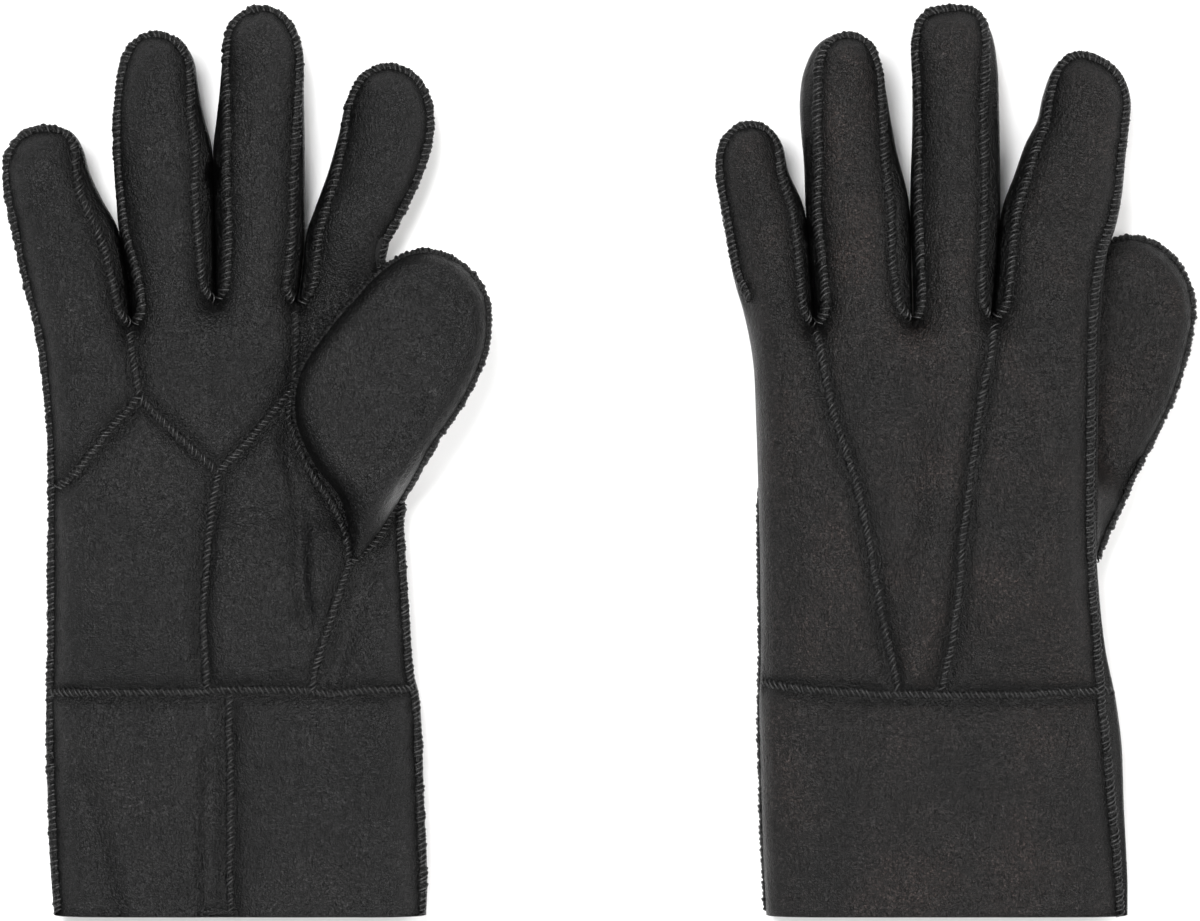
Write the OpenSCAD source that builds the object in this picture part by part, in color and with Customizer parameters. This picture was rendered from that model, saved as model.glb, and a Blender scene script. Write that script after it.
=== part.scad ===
// A pair of lined leather gloves lying flat: the right-hand glove with its palm up, and beside it the
// left-hand glove with its back up. Both thumbs point towards +X. Millimetres, +Y towards the fingertips,
// +Z up, origin at the centre of the pair on the surface that it lies on.

/* [Pair] */
// Distance between the centres of the two hems
pair_spacing = 219.8; // [190:0.1:300]

/* [Leather] */
// Thickness of the leather
leather = 1.2; // [0.8:0.1:1.6]
// Thickness of the wool inside it
wool = 3; // [2:0.1:3.4]
// Gap across the line where a finger or thumb bends
bend_gap = 0.4; // [0.2:0.1:1]
// Gap between two fingers at their roots
side_gap = 0.4; // [0.3:0.1:1]
// Gap between the thumb and the hand it lies on
thumb_gap = 0.3; // [0.3:0.1:1]

/* [Cuff] */
// Width of the hem
hem_width = 114.6; // [100:0.1:130]
// Height of the hem above the surface
hem_height = 21; // [16:0.1:24]
// Length of the cuff, from the hem to the wrist seam
cuff_length = 69.5; // [40:0.5:110]
// Width of the glove at the wrist seam
wrist_width = 113; // [100:0.1:125]
// How far the wrist's middle lies towards the little finger
wrist_shift = 3; // [0:0.1:6]
// Height of the glove at the wrist seam
wrist_height = 23; // [18:0.1:25]

/* [Hand] */
// Distance from the hem to the thickest part of the heel
heel_at = 108; // [100:0.5:112]
// Width of the heel
heel_width = 108; // [100:0.1:125]
// Height of the heel at its thickest
heel_height = 27; // [22:0.1:32]
// Distance from the hem to the crook, where the thumb leaves the hand
crook_at = 132; // [128:0.5:140]
// Width of the hand at the crook
crook_width = 107; // [100:0.1:125]
// How far the middle of the heel and the crook lies towards the little finger
palm_shift = 5; // [0:0.1:8]
// Height of the hand along the little finger's side
outer_height = 25; // [20:0.1:30]
// Height of the hand along the thumb's side
inner_height = 16; // [14:0.1:18]

/* [Fingers: little, ring, middle, index] */
// Widths of the right-hand glove's fingers at the knuckle line
right_widths = [29.7, 25.5, 25.5, 27.9]; // [20:0.1:36]
// Widths of the left-hand glove's fingers at the knuckle line
left_widths = [22.3, 30.3, 24.5, 32.4]; // [20:0.1:36]
// Lengths of the right-hand glove's fingers
right_lengths = [65.1, 86.9, 91.6, 74.6]; // [50:0.1:110]
// Lengths of the left-hand glove's fingers
left_lengths = [61.8, 89.7, 97.1, 81.6]; // [50:0.1:110]
// Lean of the right-hand glove's fingers towards the thumb
right_leans = [-13.9, -4.3, 1.5, 14.1]; // [-25:0.1:25]
// Lean of the left-hand glove's fingers towards the thumb
left_leans = [-9.9, -4.8, 0.7, 11.2]; // [-25:0.1:25]
// Radius of the fingertips
tip_radius = 12.8; // [10:0.1:14]
// Height of the fingers
finger_height = 23; // [18:0.1:26]

/* [Thumb] */
// Length of the thumb from its bend to its tip
thumb_length = 75; // [60:0.1:90]
// Lean of the thumb
thumb_lean = 23.6; // [10:0.1:30]
// Width of the thumb at its bend
thumb_root_width = 28; // [24:0.1:32]
// Width of the thumb at its widest
thumb_width = 43; // [34:0.1:46]
// Radius of the thumb's tip
thumb_tip_radius = 17; // [14:0.1:19]
// Height of the right-hand glove's thumb, which lies on the palm
upper_thumb_height = 15.5; // [13:0.1:18]
// Height of the left-hand glove's thumb, which lies under the hand
lower_thumb_height = 13; // [12.8:0.1:14]

/* [Hidden] */
SLEEVE_POINTS = 24; // points round a section of the hand
TUBE_POINTS = 16; // points round a section of a finger
SQUARENESS = 2.5; // 2 is an ellipse, and more is squarer
THROUGH = 1; // how far a hollow runs past an open end
FAR = 400; // past any edge of the part
CLEARANCE = 0.2; // between the thumb and the hand, as well as thumb_gap
TIP_BLUNTNESS = 0.7; // power by which a tip's height falls; 1 is a half round
skin = leather + wool;
charcoal = [0.13, 0.13, 0.14];
welt_black = [0.08, 0.08, 0.09];
wool_black = [0.05, 0.05, 0.055];

FINGERS = ["little", "ring", "middle", "index"];

// First corner of each knuckle line, at the little finger's side, and its rise at each later corner
right_first_corner = [-62.6, 179.5];
right_rises = [4, 7.5, -1, 3];
left_first_corner = [-63.5, 184];
left_rises = [0.5, 1, 1, 4];

// A glove: name, palm up, finger widths, lengths and leans, first knuckle corner, rises
RIGHT = ["right", true, right_widths, right_lengths, right_leans, right_first_corner, right_rises];
LEFT = ["left", false, left_widths, left_lengths, left_leans, left_first_corner, left_rises];
GLOVES = [RIGHT, LEFT];

function palm_up(g) = g[1];
function sum_to(v, i) = i <= 0 ? 0 : v[i - 1] + sum_to(v, i - 1);
function lerp(a, b, t) = a + (b - a) * t;
function unit(v) = v / norm(v);
function heading(lean) = [sin(lean), cos(lean)];

// Corner i of the knuckle line: finger i stands between corners i and i + 1
function corner(g, i) = [g[5].x + sum_to(g[2], i), g[5].y + sum_to(g[6], i)];
function knuckle(g, i) = (corner(g, i) + corner(g, i + 1)) / 2;

// The hand over its width: floor and roof heights at the little finger's side and at the thumb's side.
// The palm-down hand climbs over its own thumb.
palm_edge = -crook_width / 2 - palm_shift;
thumb_reach = 17.5; // the thumb lies on the hand's inner side from this X on
reach_share = (thumb_reach - palm_edge) / crook_width;
lift = (lower_thumb_height + thumb_gap + CLEARANCE) / reach_share;
heel_share = 1 / 3; // share of the climb that is done at the heel
heel_lift = lift * heel_share;
function lift_of(g, h) = palm_up(g) ? 0 : h;
function hand_roof(t) = lerp(outer_height, inner_height, t);
function share(g, p) = (p.x - corner(g, 0).x) / (corner(g, 4).x - corner(g, 0).x);
function hand_floor(g, t) = lift_of(g, lift) * t;

// How far the sleeve runs past the two ends of the knuckle line, where it is cut off
outer_overrun = [-5, 25];
inner_overrun = [0, 15];

// A station of the sleeve: its two ends in plan, then floor and roof at each end
function station(y, width, shift, outer, inner, up) =
    [[-width / 2 - shift, y], [width / 2 - shift, y], [0, outer], [up, up + inner]];
function sleeve_stations(g) = [
    station(0, hem_width, 0, hem_height, hem_height, 0),
    station(cuff_length, wrist_width, wrist_shift, wrist_height, wrist_height, 0),
    station(heel_at, heel_width, palm_shift, heel_height, heel_height, lift_of(g, heel_lift)),
    station(crook_at, crook_width, palm_shift, heel_height, inner_height, lift_of(g, lift)),
    [corner(g, 0), corner(g, 4), [0, outer_height], lift_of(g, lift) * [1, 1] + [0, inner_height]],
    [corner(g, 0) + outer_overrun, corner(g, 4) + inner_overrun, [0, outer_height],
     lift_of(g, lift) * [1, 1] + [0, inner_height]],
];
function pulled(stations, past) = [
    for (i = [0:len(stations) - 1])
        i > 0 ? stations[i]
              : [stations[0][0] - [0, past], stations[0][1] - [0, past], stations[0][2], stations[0][3]]
];

// The thumb's bend line, from its inner end to its outer end, and its place above the surface
thumb_pivot = [51, 128];
thumb_across = [cos(thumb_lean), -sin(thumb_lean)];
thumb_along = heading(thumb_lean);
thumb_mid = thumb_pivot - thumb_across * thumb_root_width / 2;
function thumb_floor(g) =
    palm_up(g) ? lerp(heel_height, inner_height, reach_share) + thumb_gap + CLEARANCE : 0;
function thumb_height(g) = palm_up(g) ? upper_thumb_height : lower_thumb_height;
function thumb_heights(g) = [thumb_floor(g), thumb_floor(g) + thumb_height(g)];

// The root of the thumb: a mound from the bottom of the V-shaped seam to the bend line
vee = [36.7, 110];
vee_half = 7;
upper_vee = [12, 22.5]; // floor and roof of the mound's low end on the palm-up hand
lower_vee = [1.5, 12]; // and on the palm-down hand, above its floor there
function vee_heights(g) = palm_up(g) ? upper_vee : heel_lift * [1, 1] + lower_vee;

function signed_power(v, p) = sign(v) * pow(abs(v), p);

// One section of a tube: n points of a rounded rectangle that stands on the plan line from a to b, with
// floor and roof heights za and zb at its ends, and drawn in by w on every side
function section(a, b, za, zb, w, n) =
    let (p = 2 / SQUARENESS, most = pow(cos(180 / n), p), side = unit(b - a) * w)
    [for (k = [0:n - 1])
        let (
            angle = (k + 0.5) * 360 / n,
            across = (1 + signed_power(cos(angle), p) / most) / 2,
            up = (1 + signed_power(sin(angle), p) / most) / 2,
            place = lerp(a + side, b - side, across),
            low = lerp(za[0], zb[0], across) + w,
            high = lerp(za[1], zb[1], across) - w
        )
        [place.x, place.y, lerp(low, high, up)]];

// Closed solid through sections with the same number of points
module loft(sections) {
    n = len(sections[0]);
    last = len(sections) - 1;
    sides = [for (i = [0:last - 1], k = [0:n - 1], half = [0, 1])
        let (next = (k + 1) % n)
        half == 0 ? [i * n + k, i * n + next, (i + 1) * n + next]
                  : [i * n + k, (i + 1) * n + next, (i + 1) * n + k]];
    start = [for (k = [n - 1:-1:0]) k];
    end = [for (k = [0:n - 1]) last * n + k];
    polyhedron([for (s = sections, p = s) p], concat([start], sides, [end]), convexity = 6);
}

// The sleeve of hand and cuff, drawn in by w, and the mound of the thumb's root on it. Both run past their
// open ends by the given length.
module sleeve(g, w, past) {
    loft([for (s = pulled(sleeve_stations(g), past)) section(s[0], s[1], s[2], s[3], w, SLEEVE_POINTS)]);
}
module root_mound(g, w, past) {
    inner = thumb_mid - thumb_across * thumb_root_width / 2 + thumb_along * past;
    outer = thumb_pivot + thumb_along * past;
    loft([
        section(vee - [vee_half, 0], vee + [vee_half, 0], vee_heights(g), vee_heights(g), w, TUBE_POINTS),
        section(inner, outer, thumb_heights(g), thumb_heights(g), w, TUBE_POINTS)
    ]);
}
module hand_body(g, w, past) {
    union() {
        sleeve(g, w, past);
        root_mound(g, w, past);
    }
}

// Everything behind the knuckle line
module behind_knuckles(g) {
    line = [for (i = [0:4]) corner(g, i) - [0, bend_gap / 2]];
    prism(concat([[-FAR, line[0].y]], line, [[FAR, line[4].y], [FAR, -FAR], [-FAR, -FAR]]));
}
module prism(outline) {
    translate([0, 0, -FAR / 2]) linear_extrude(FAR) polygon(outline);
}

// The lower half of the hand, below the line along which palm and back meet
module lower_half(g) {
    wide = 30; // past the widest station on each side
    loft([for (s = pulled(sleeve_stations(g), THROUGH))
        let (a = s[0] - [wide, 0], b = s[1] + [wide, 0],
             ma = (s[2][0] + s[2][1]) / 2, mb = (s[3][0] + s[3][1]) / 2)
        [[b.x, b.y, -wide], [b.x, b.y, mb], [a.x, a.y, ma], [a.x, a.y, -wide]]]);
}
module palm_side(g) {
    if (palm_up(g)) difference() { children(); lower_half(g); }
    else intersection() { children(); lower_half(g); }
}
module back_side(g) {
    if (palm_up(g)) intersection() { children(); lower_half(g); }
    else difference() { children(); lower_half(g); }
}

// Leather over one outline of the plan
module hand_leather(g, outline) {
    difference() {
        intersection() {
            hand_body(g, 0, 0);
            prism(outline);
            behind_knuckles(g);
        }
        hand_body(g, leather, THROUGH);
    }
}

// Seams in plan, between named points. The palm's seams start at the corners between the fingers.
function seam_little(g) = corner(g, 1) + [2.8, -22.5];
function seam_heel(g) = corner(g, 2) + [1.8, -53.4];
function seam_thumb(g) = corner(g, 3) + [-0.4, -26];
outer_seam_end = [-57, 133];
wrap_end = [-FAR, outer_seam_end.y];
vee_left = [thumb_mid.x - 17, thumb_mid.y + 9];
function back_left(g) = [corner(g, 1), [-29, 133], [-22, 95], [-16.2, cuff_length]];
function back_right(g) = [corner(g, 3), [7, 132], [2.5, 95], [-1.9, cuff_length]];
palm_left_seam = [[-9.9, 108.5], [-9.6, cuff_length]];
palm_right_seam = [vee, [30, 90], [23.3, cuff_length]];
cuff_split = -2.5;
overhang = 40; // past the knuckle line
function over(p) = [p.x, p.y + overhang];
function reversed(v) = [for (i = [len(v) - 1:-1:0]) v[i]];

// The hand's leather
module little_side(g) {
    color(charcoal) union() {
        palm_side(g) hand_leather(g, [over(corner(g, 1)), corner(g, 1), seam_little(g), outer_seam_end,
                                      wrap_end, [-FAR, FAR]]);
        back_side(g) hand_leather(g, concat([over(corner(g, 1))], back_left(g),
                                            [[-FAR, cuff_length], [-FAR, FAR]]));
    }
}
module back_centre(g) {
    color(charcoal) back_side(g) hand_leather(g, concat([over(corner(g, 1))], back_left(g),
        reversed(back_right(g)), [over(corner(g, 3))]));
}
module back_index(g) {
    color(charcoal) back_side(g) hand_leather(g, concat(back_right(g), [[FAR, cuff_length], [FAR, FAR],
        over(corner(g, 3))]));
}
module palm_centre(g) {
    color(charcoal) palm_side(g) hand_leather(g, [over(corner(g, 1)), corner(g, 1), seam_little(g),
        seam_heel(g), seam_thumb(g), corner(g, 3), over(corner(g, 3))]);
}
module palm_index(g) {
    color(charcoal) palm_side(g) difference() {
        hand_leather(g, concat([over(corner(g, 3)), corner(g, 3), seam_thumb(g), vee_left],
            palm_right_seam, [[FAR, cuff_length], [FAR, FAR]]));
        root_prism();
    }
}
module heel_outer(g) {
    color(charcoal) palm_side(g) hand_leather(g, concat(
        [wrap_end, outer_seam_end, seam_little(g), seam_heel(g)], palm_left_seam, [[-FAR, cuff_length]]));
}
module heel_centre(g) {
    color(charcoal) palm_side(g) difference() {
        hand_leather(g, concat([seam_heel(g), seam_thumb(g), vee_left], palm_right_seam,
            reversed(palm_left_seam)));
        root_prism();
    }
}
module root_prism() {
    grow = 0.01; // keeps the root's walls off the mound's own
    inner = thumb_mid - thumb_across * (thumb_root_width / 2 + grow);
    outer = thumb_pivot + thumb_across * grow;
    prism([vee - [vee_half + grow, 0], inner, inner + thumb_along, outer + thumb_along, outer,
           vee + [vee_half + grow, 0]]);
}
module thumb_root(g) {
    color(charcoal) palm_side(g) intersection() {
        hand_leather(g, [[-FAR, -FAR], [-FAR, FAR], [FAR, FAR], [FAR, -FAR]]);
        root_prism();
    }
}
module cuff_back(g) {
    color(charcoal) back_side(g) hand_leather(g, [[-FAR, -FAR], [-FAR, cuff_length], [FAR, cuff_length],
        [FAR, -FAR]]);
}
module cuff_palm_outer(g) {
    color(charcoal) palm_side(g) hand_leather(g, [[-FAR, -FAR], [-FAR, cuff_length],
        [cuff_split, cuff_length], [cuff_split, -FAR]]);
}
module cuff_palm_inner(g) {
    color(charcoal) palm_side(g) hand_leather(g, [[cuff_split, -FAR], [cuff_split, cuff_length],
        [FAR, cuff_length], [FAR, -FAR]]);
}
module hand_lining(g) {
    color(wool_black) difference() {
        intersection() {
            union() {
                sleeve(g, leather, THROUGH);
                difference() { root_mound(g, leather, THROUGH); past_thumb_line(); }
            }
            behind_knuckles(g);
            prism([[-FAR, 0], [-FAR, FAR], [FAR, FAR], [FAR, 0]]);
        }
        hand_body(g, skin, THROUGH);
    }
}
// Everything past the thumb's bend line, in the strip that the thumb's root fills
module past_thumb_line() {
    a = thumb_mid - thumb_across * thumb_root_width;
    b = thumb_mid + thumb_across * thumb_root_width;
    prism([a, b, b + thumb_along * thumb_root_width, a + thumb_along * thumb_root_width]);
}

// A finger: sections from the knuckle line to the tip. Its floor falls from the hand's to the surface.
rise_angles = [30, 55, 74, 86];
belly_at = 0.45; // share of the way to the tip's centre at which a finger reaches its full height
belly_extra = 0.4; // how much wider than its tip it is on each side there
belly_fall = 0.4; // share of the hand's height above the surface that is left there
function belly_floor(g, i) = hand_floor(g, share(g, knuckle(g, i))) * belly_fall;
// Height of the middle of a finger's side at each distance along it
before_knuckle = 15; // how far back the line starts
function finger_middle(g, i) =
    let (t = share(g, knuckle(g, i)), root = hand_floor(g, t) + hand_roof(t) / 2, tip = g[3][i] - tip_radius)
    [[-before_knuckle, root], [0, root], [tip * belly_at, belly_floor(g, i) + finger_height / 2],
     [tip, finger_height / 2]];
function finger_section(g, i, u, half, low, high, w) =
    let (mid = knuckle(g, i) + heading(g[4][i]) * u, side = [cos(g[4][i]), -sin(g[4][i])] * half)
    section(mid - side, mid + side, [low, high], [low, high], w, TUBE_POINTS);
function finger_base(g, i, u, w) =
    let (a = corner(g, i), b = corner(g, i + 1), in = unit(b - a) * side_gap / 2,
         on = heading(g[4][i]) * u, ta = share(g, a), tb = share(g, b))
    section(a + in + on, b - in + on, finger_root(g, ta), finger_root(g, tb), w, TUBE_POINTS);
function finger_root(g, t) = [hand_floor(g, t), hand_floor(g, t) + hand_roof(t)];
function finger_sections(g, i, w, past) =
    let (tip = g[3][i] - tip_radius, mid = finger_height / 2)
    concat(
        [finger_base(g, i, bend_gap / 2 - past, w),
         finger_section(g, i, tip * belly_at, tip_radius + belly_extra, belly_floor(g, i),
             belly_floor(g, i) + finger_height, w),
         finger_section(g, i, tip, tip_radius, 0, finger_height, w)],
        [for (r = rise_angles)
            let (half = (tip_radius - w) * cos(r), high = (mid - w) * pow(cos(r), TIP_BLUNTNESS))
            finger_section(g, i, tip + (tip_radius - w) * sin(r), half, mid - high, mid + high, 0)]
    );
module finger_tube(g, i, w, past) {
    loft(finger_sections(g, i, w, past));
}

// The band of a finger's side wall that a fourchette covers, from the knuckle line to near the tip
fourchette_margin = 1.5; // of palm and back leather that is left on the side wall
fourchette_half = inner_height / 2 - leather - fourchette_margin;
tip_share = 0.75; // share of the tip's radius that the band stops short of the tip
function fourchette_end(g, i) = g[3][i] - tip_radius * tip_share;
module side_band(g, i, side) {
    wide = 40; // past the side wall
    out = [cos(g[4][i]), -sin(g[4][i])] * side * wide;
    rows = concat(finger_middle(g, i), [[fourchette_end(g, i), finger_height / 2]]);
    loft([for (r = rows)
        let (mid = knuckle(g, i) + heading(g[4][i]) * r[0],
             a = side > 0 ? mid : mid + out, b = side > 0 ? mid + out : mid)
        [[b.x, b.y, r[1] - fourchette_half], [b.x, b.y, r[1] + fourchette_half],
         [a.x, a.y, r[1] + fourchette_half], [a.x, a.y, r[1] - fourchette_half]]]);
}
// The lower half of a finger
module finger_lower(g, i) {
    wide = 60; // past the finger on every side
    beyond = 5; // past its tip
    out = [cos(g[4][i]), -sin(g[4][i])] * wide;
    rows = concat(finger_middle(g, i), [[g[3][i] + beyond, finger_height / 2]]);
    loft([for (r = rows)
        let (mid = knuckle(g, i) + heading(g[4][i]) * r[0], a = mid - out, b = mid + out)
        [[b.x, b.y, -wide], [b.x, b.y, r[1]], [a.x, a.y, r[1]], [a.x, a.y, -wide]]]);
}
module finger_leather(g, i) {
    difference() {
        finger_tube(g, i, 0, 0);
        finger_tube(g, i, leather, THROUGH);
    }
}
// The palm or back half of a finger, less the bands on its sides that fourchettes cover
module finger_half(g, i, palm, bands) {
    difference() {
        if (palm == palm_up(g)) difference() { finger_leather(g, i); finger_lower(g, i); }
        else intersection() { finger_leather(g, i); finger_lower(g, i); }
        for (side = bands) side_band(g, i, side);
    }
}
module fourchette(g, i, side) {
    color(welt_black) intersection() {
        finger_leather(g, i);
        side_band(g, i, side);
    }
}
module fourchettes(g, i) {
    fourchette(g, i, -1);
    fourchette(g, i, 1);
}
module finger_back(g, i) {
    color(charcoal) finger_half(g, i, false, [-1, 1]);
}
module finger_palm(g, i) {
    color(charcoal) finger_half(g, i, true, [-1, 1]);
}
// The index finger's palm piece also covers its outer side
module index_palm(g, i) {
    color(charcoal) union() {
        finger_half(g, i, true, [-1, 1]);
        intersection() { finger_leather(g, i); side_band(g, i, 1); }
    }
}
// The little finger's leather goes round its outer side in one piece
module little_wrap(g, i) {
    color(charcoal) difference() {
        finger_leather(g, i);
        side_band(g, i, 1);
    }
}
module finger_lining(g, i) {
    color(wool_black) difference() {
        finger_tube(g, i, leather, THROUGH);
        finger_tube(g, i, skin, THROUGH);
        behind_finger(g, i);
    }
}
module behind_finger(g, i) {
    on = heading(g[4][i]) * bend_gap / 2;
    a = corner(g, i) + on;
    b = corner(g, i + 1) + on;
    past = unit(b - a) * tip_radius;
    back = [0, -tip_radius];
    prism([a - past, b + past, b + past + back, a - past + back]);
}

// The thumb: sections from its bend line to its tip
thumb_widest = 0.42; // share of the way to the tip's centre at which it is widest
function thumb_section(g, u, half, low, high, w) =
    let (mid = thumb_mid + thumb_along * u, side = thumb_across * half)
    section(mid - side, mid + side, [low, high], [low, high], w, TUBE_POINTS);
function thumb_sections(g, w, past) =
    let (z = thumb_heights(g), mid = (z[0] + z[1]) / 2, tip = thumb_length - thumb_tip_radius,
         root = thumb_root_width / 2)
    concat(
        [thumb_section(g, bend_gap - past, root, z[0], z[1], w),
         thumb_section(g, tip * thumb_widest, thumb_width / 2, z[0], z[1], w),
         thumb_section(g, tip, thumb_tip_radius, z[0], z[1], w)],
        [for (r = rise_angles)
            let (half = (thumb_tip_radius - w) * cos(r),
                 high = (thumb_height(g) / 2 - w) * pow(cos(r), TIP_BLUNTNESS))
            thumb_section(g, tip + (thumb_tip_radius - w) * sin(r), half, mid - high, mid + high, 0)]
    );
module thumb_tube(g, w, past) {
    loft(thumb_sections(g, w, past));
}
module thumb_half(g, upper) {
    mid = (thumb_heights(g)[0] + thumb_heights(g)[1]) / 2;
    color(charcoal) difference() {
        thumb_tube(g, 0, 0);
        thumb_tube(g, leather, THROUGH);
        translate([-FAR, -FAR, upper ? mid - FAR : mid]) cube([2 * FAR, 2 * FAR, FAR]);
    }
}
module thumb_front(g) {
    thumb_half(g, palm_up(g));
}
module thumb_back(g) {
    thumb_half(g, !palm_up(g));
}
module thumb_lining(g) {
    color(wool_black) difference() {
        thumb_tube(g, leather, THROUGH);
        thumb_tube(g, skin, THROUGH);
        translate([thumb_mid.x, thumb_mid.y, 0]) rotate(-thumb_lean)
            translate([-FAR / 2, bend_gap - FAR, -FAR / 2]) cube([FAR, FAR, FAR]);
    }
}

// Each glove is drawn from its own hem's centre and stood in the pair's frame
function tip_of(g, i) = knuckle(g, i) + heading(g[4][i]) * (g[3][i] - tip_radius);
thumb_tip = thumb_mid + thumb_along * (thumb_length - thumb_tip_radius);
pair_low = tip_of(RIGHT, 0).x - tip_radius - pair_spacing / 2;
pair_high = thumb_tip.x + thumb_tip_radius + pair_spacing / 2;
pair_top = max([for (g = GLOVES, i = [0:3]) tip_of(g, i).y + tip_radius]);
function place_of(g) =
    [(palm_up(g) ? -1 : 1) * pair_spacing / 2 - (pair_low + pair_high) / 2, -pair_top / 2, 0];
module place(g) {
    translate(place_of(g)) children();
}

HAND_NODES = ["little_side", "back_centre", "back_index", "palm_centre", "palm_index", "heel_outer",
              "heel_centre", "thumb_root", "cuff_back", "cuff_palm_outer", "cuff_palm_inner", "hand_lining"];
THUMB_NODES = ["thumb_front", "thumb_back", "thumb_lining"];
FINGER_NODES = [["wrap", "fourchette", "lining"], ["palm", "back", "fourchettes", "lining"],
                ["palm", "back", "fourchettes", "lining"], ["palm", "back", "fourchette", "lining"]];

for (g = GLOVES) {
    place(g) little_side(g);
    place(g) back_centre(g);
    place(g) back_index(g);
    place(g) palm_centre(g);
    place(g) palm_index(g);
    place(g) heel_outer(g);
    place(g) heel_centre(g);
    place(g) thumb_root(g);
    place(g) cuff_back(g);
    place(g) cuff_palm_outer(g);
    place(g) cuff_palm_inner(g);
    place(g) hand_lining(g);
    place(g) thumb_front(g);
    place(g) thumb_back(g);
    place(g) thumb_lining(g);
    place(g) little_wrap(g, 0);
    place(g) fourchette(g, 0, 1);
    place(g) index_palm(g, 3);
    place(g) finger_back(g, 3);
    place(g) fourchette(g, 3, -1);
    for (i = [1, 2]) {
        place(g) finger_palm(g, i);
        place(g) finger_back(g, i);
        place(g) fourchettes(g, i);
    }
    for (i = [0:3])
        place(g) finger_lining(g, i);
}
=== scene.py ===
"""A pair of lined black leather gloves: the right-hand glove palm up, the left-hand glove back up."""
import math
import bpy
import numpy as np
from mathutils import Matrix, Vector, geometry
from mathutils.bvhtree import BVHTree


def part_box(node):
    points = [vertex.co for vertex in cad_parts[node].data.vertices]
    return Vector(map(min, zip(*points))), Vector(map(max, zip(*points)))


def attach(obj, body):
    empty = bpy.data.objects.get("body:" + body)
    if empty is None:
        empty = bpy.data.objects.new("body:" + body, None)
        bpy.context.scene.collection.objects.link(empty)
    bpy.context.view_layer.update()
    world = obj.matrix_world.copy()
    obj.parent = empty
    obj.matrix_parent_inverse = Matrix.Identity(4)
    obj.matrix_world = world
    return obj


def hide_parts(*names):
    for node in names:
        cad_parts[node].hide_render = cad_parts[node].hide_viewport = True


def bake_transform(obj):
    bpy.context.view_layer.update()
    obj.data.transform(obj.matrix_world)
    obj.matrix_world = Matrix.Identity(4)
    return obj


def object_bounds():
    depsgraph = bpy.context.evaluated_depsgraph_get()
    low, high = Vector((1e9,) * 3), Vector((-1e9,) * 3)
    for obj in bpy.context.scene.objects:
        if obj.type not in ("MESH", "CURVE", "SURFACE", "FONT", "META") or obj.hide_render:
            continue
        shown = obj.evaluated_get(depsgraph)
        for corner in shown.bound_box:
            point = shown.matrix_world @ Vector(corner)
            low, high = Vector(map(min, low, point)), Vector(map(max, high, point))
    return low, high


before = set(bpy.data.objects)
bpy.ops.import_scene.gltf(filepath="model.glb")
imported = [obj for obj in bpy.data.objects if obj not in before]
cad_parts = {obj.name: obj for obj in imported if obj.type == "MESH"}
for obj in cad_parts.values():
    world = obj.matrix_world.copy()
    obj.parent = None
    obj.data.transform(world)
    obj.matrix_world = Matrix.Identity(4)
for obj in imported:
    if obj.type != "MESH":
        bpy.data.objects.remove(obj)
CAD_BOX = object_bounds()
MM = 0.001
TOP_GRID, HIDDEN_GRID = ((0.95, 1.6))
RIM_STEP = 1.0
FINGERS = ("little", "ring", "middle", "index")
TIP = 400.0  # a Y past every fingertip
rng = np.random.default_rng(11)
LATTICE = rng.random((128, 128)) * 2 - 1

# -------- the gloves, in mm from the hem's middle
RIGHT = {
    "name": "right",
    "palm_up": True,
    "slits": [
        [(-32.9, 183.5), (-34.3, 198), (-37.5, 213.5)],
        [(-7.3, 191), (-7.4, 210), (-8.1, 238)],
        [(18.3, 190), (19.6, 200), (20.7, 211)],
    ],
    "corners": [(-62.6, 180), (46.2, 192)],
    "tips": [(-60.3, 232.3), (-25.7, 261), (7.4, 269.4), (47, 251)],
    "edges": [
        [(-57.4, 0), (-58.7, 18), (-59.3, 36), (-59.8, 55), (-59.6, 69), (-59, 90), (-58.9, 110),
         (-58.9, 133), (-59.3, 150), (-60.5, 165), (-62.6, 181), (-66.7, 196), (-70, 212), (-72.9, 227),
         (-72.4, 236), (-67.5, 242.8), (-59.5, 245.2), (-51.8, 243), (-48.4, 238), (-46.4, 231),
         (-42.3, 222)],
        [(-38, 222), (-38.7, 232), (-38.8, 244), (-38.3, 253), (-36.4, 264), (-32.6, 271.5),
         (-26.7, 274.2), (-19.2, 272.3), (-14.2, 266.2), (-12.5, 257), (-10.5, 247)],
        [(-6.9, 247), (-5.9, 256), (-5.1, 265), (-3.6, 275), (1.5, 280.6), (9.3, 282.2), (15.8, 278),
         (19.6, 270), (20.3, 254), (20.6, 231)],
        [(24.3, 221), (27.9, 231), (31, 242), (33.6, 253), (38.8, 261.3), (47.1, 264.3), (55.2, 261),
         (59.8, 253), (60.6, 244), (57.6, 231), (50.4, 215.5), (46.2, 208), (45.2, 200), (46, 190),
         (48, 175), (49.8, 155), (50.2, 138), (50.7, 129), (51.8, 113), (53.2, 91), (54.4, 75),
         (55.8, 69.5), (56.6, 62), (57.2, 48), (57.6, 35), (58.6, 10.5), (58.2, 0)],
    ],
    "thumb": [(37.4, 110.5), (43.8, 119), (50.8, 130), (54, 135), (60.5, 146), (69.4, 159), (76, 173),
              (77.5, 182), (76.3, 192.5), (69.8, 201), (60.1, 205), (52.4, 204), (44.6, 199), (36.5, 190.5),
              (30.4, 183.5), (22.6, 173), (19.3, 166), (18.4, 154), (23.3, 141), (32.1, 129), (36.2, 112)],
    "cuff_seam": [(-60.6, 69.2), (-40, 69.4), (-10, 69.8), (23, 70), (45, 70.2), (57.6, 71)],
    "hidden_cuff_seam": [(-60.6, 69.2), (-10, 69.5), (57.6, 71)],
}
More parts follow.
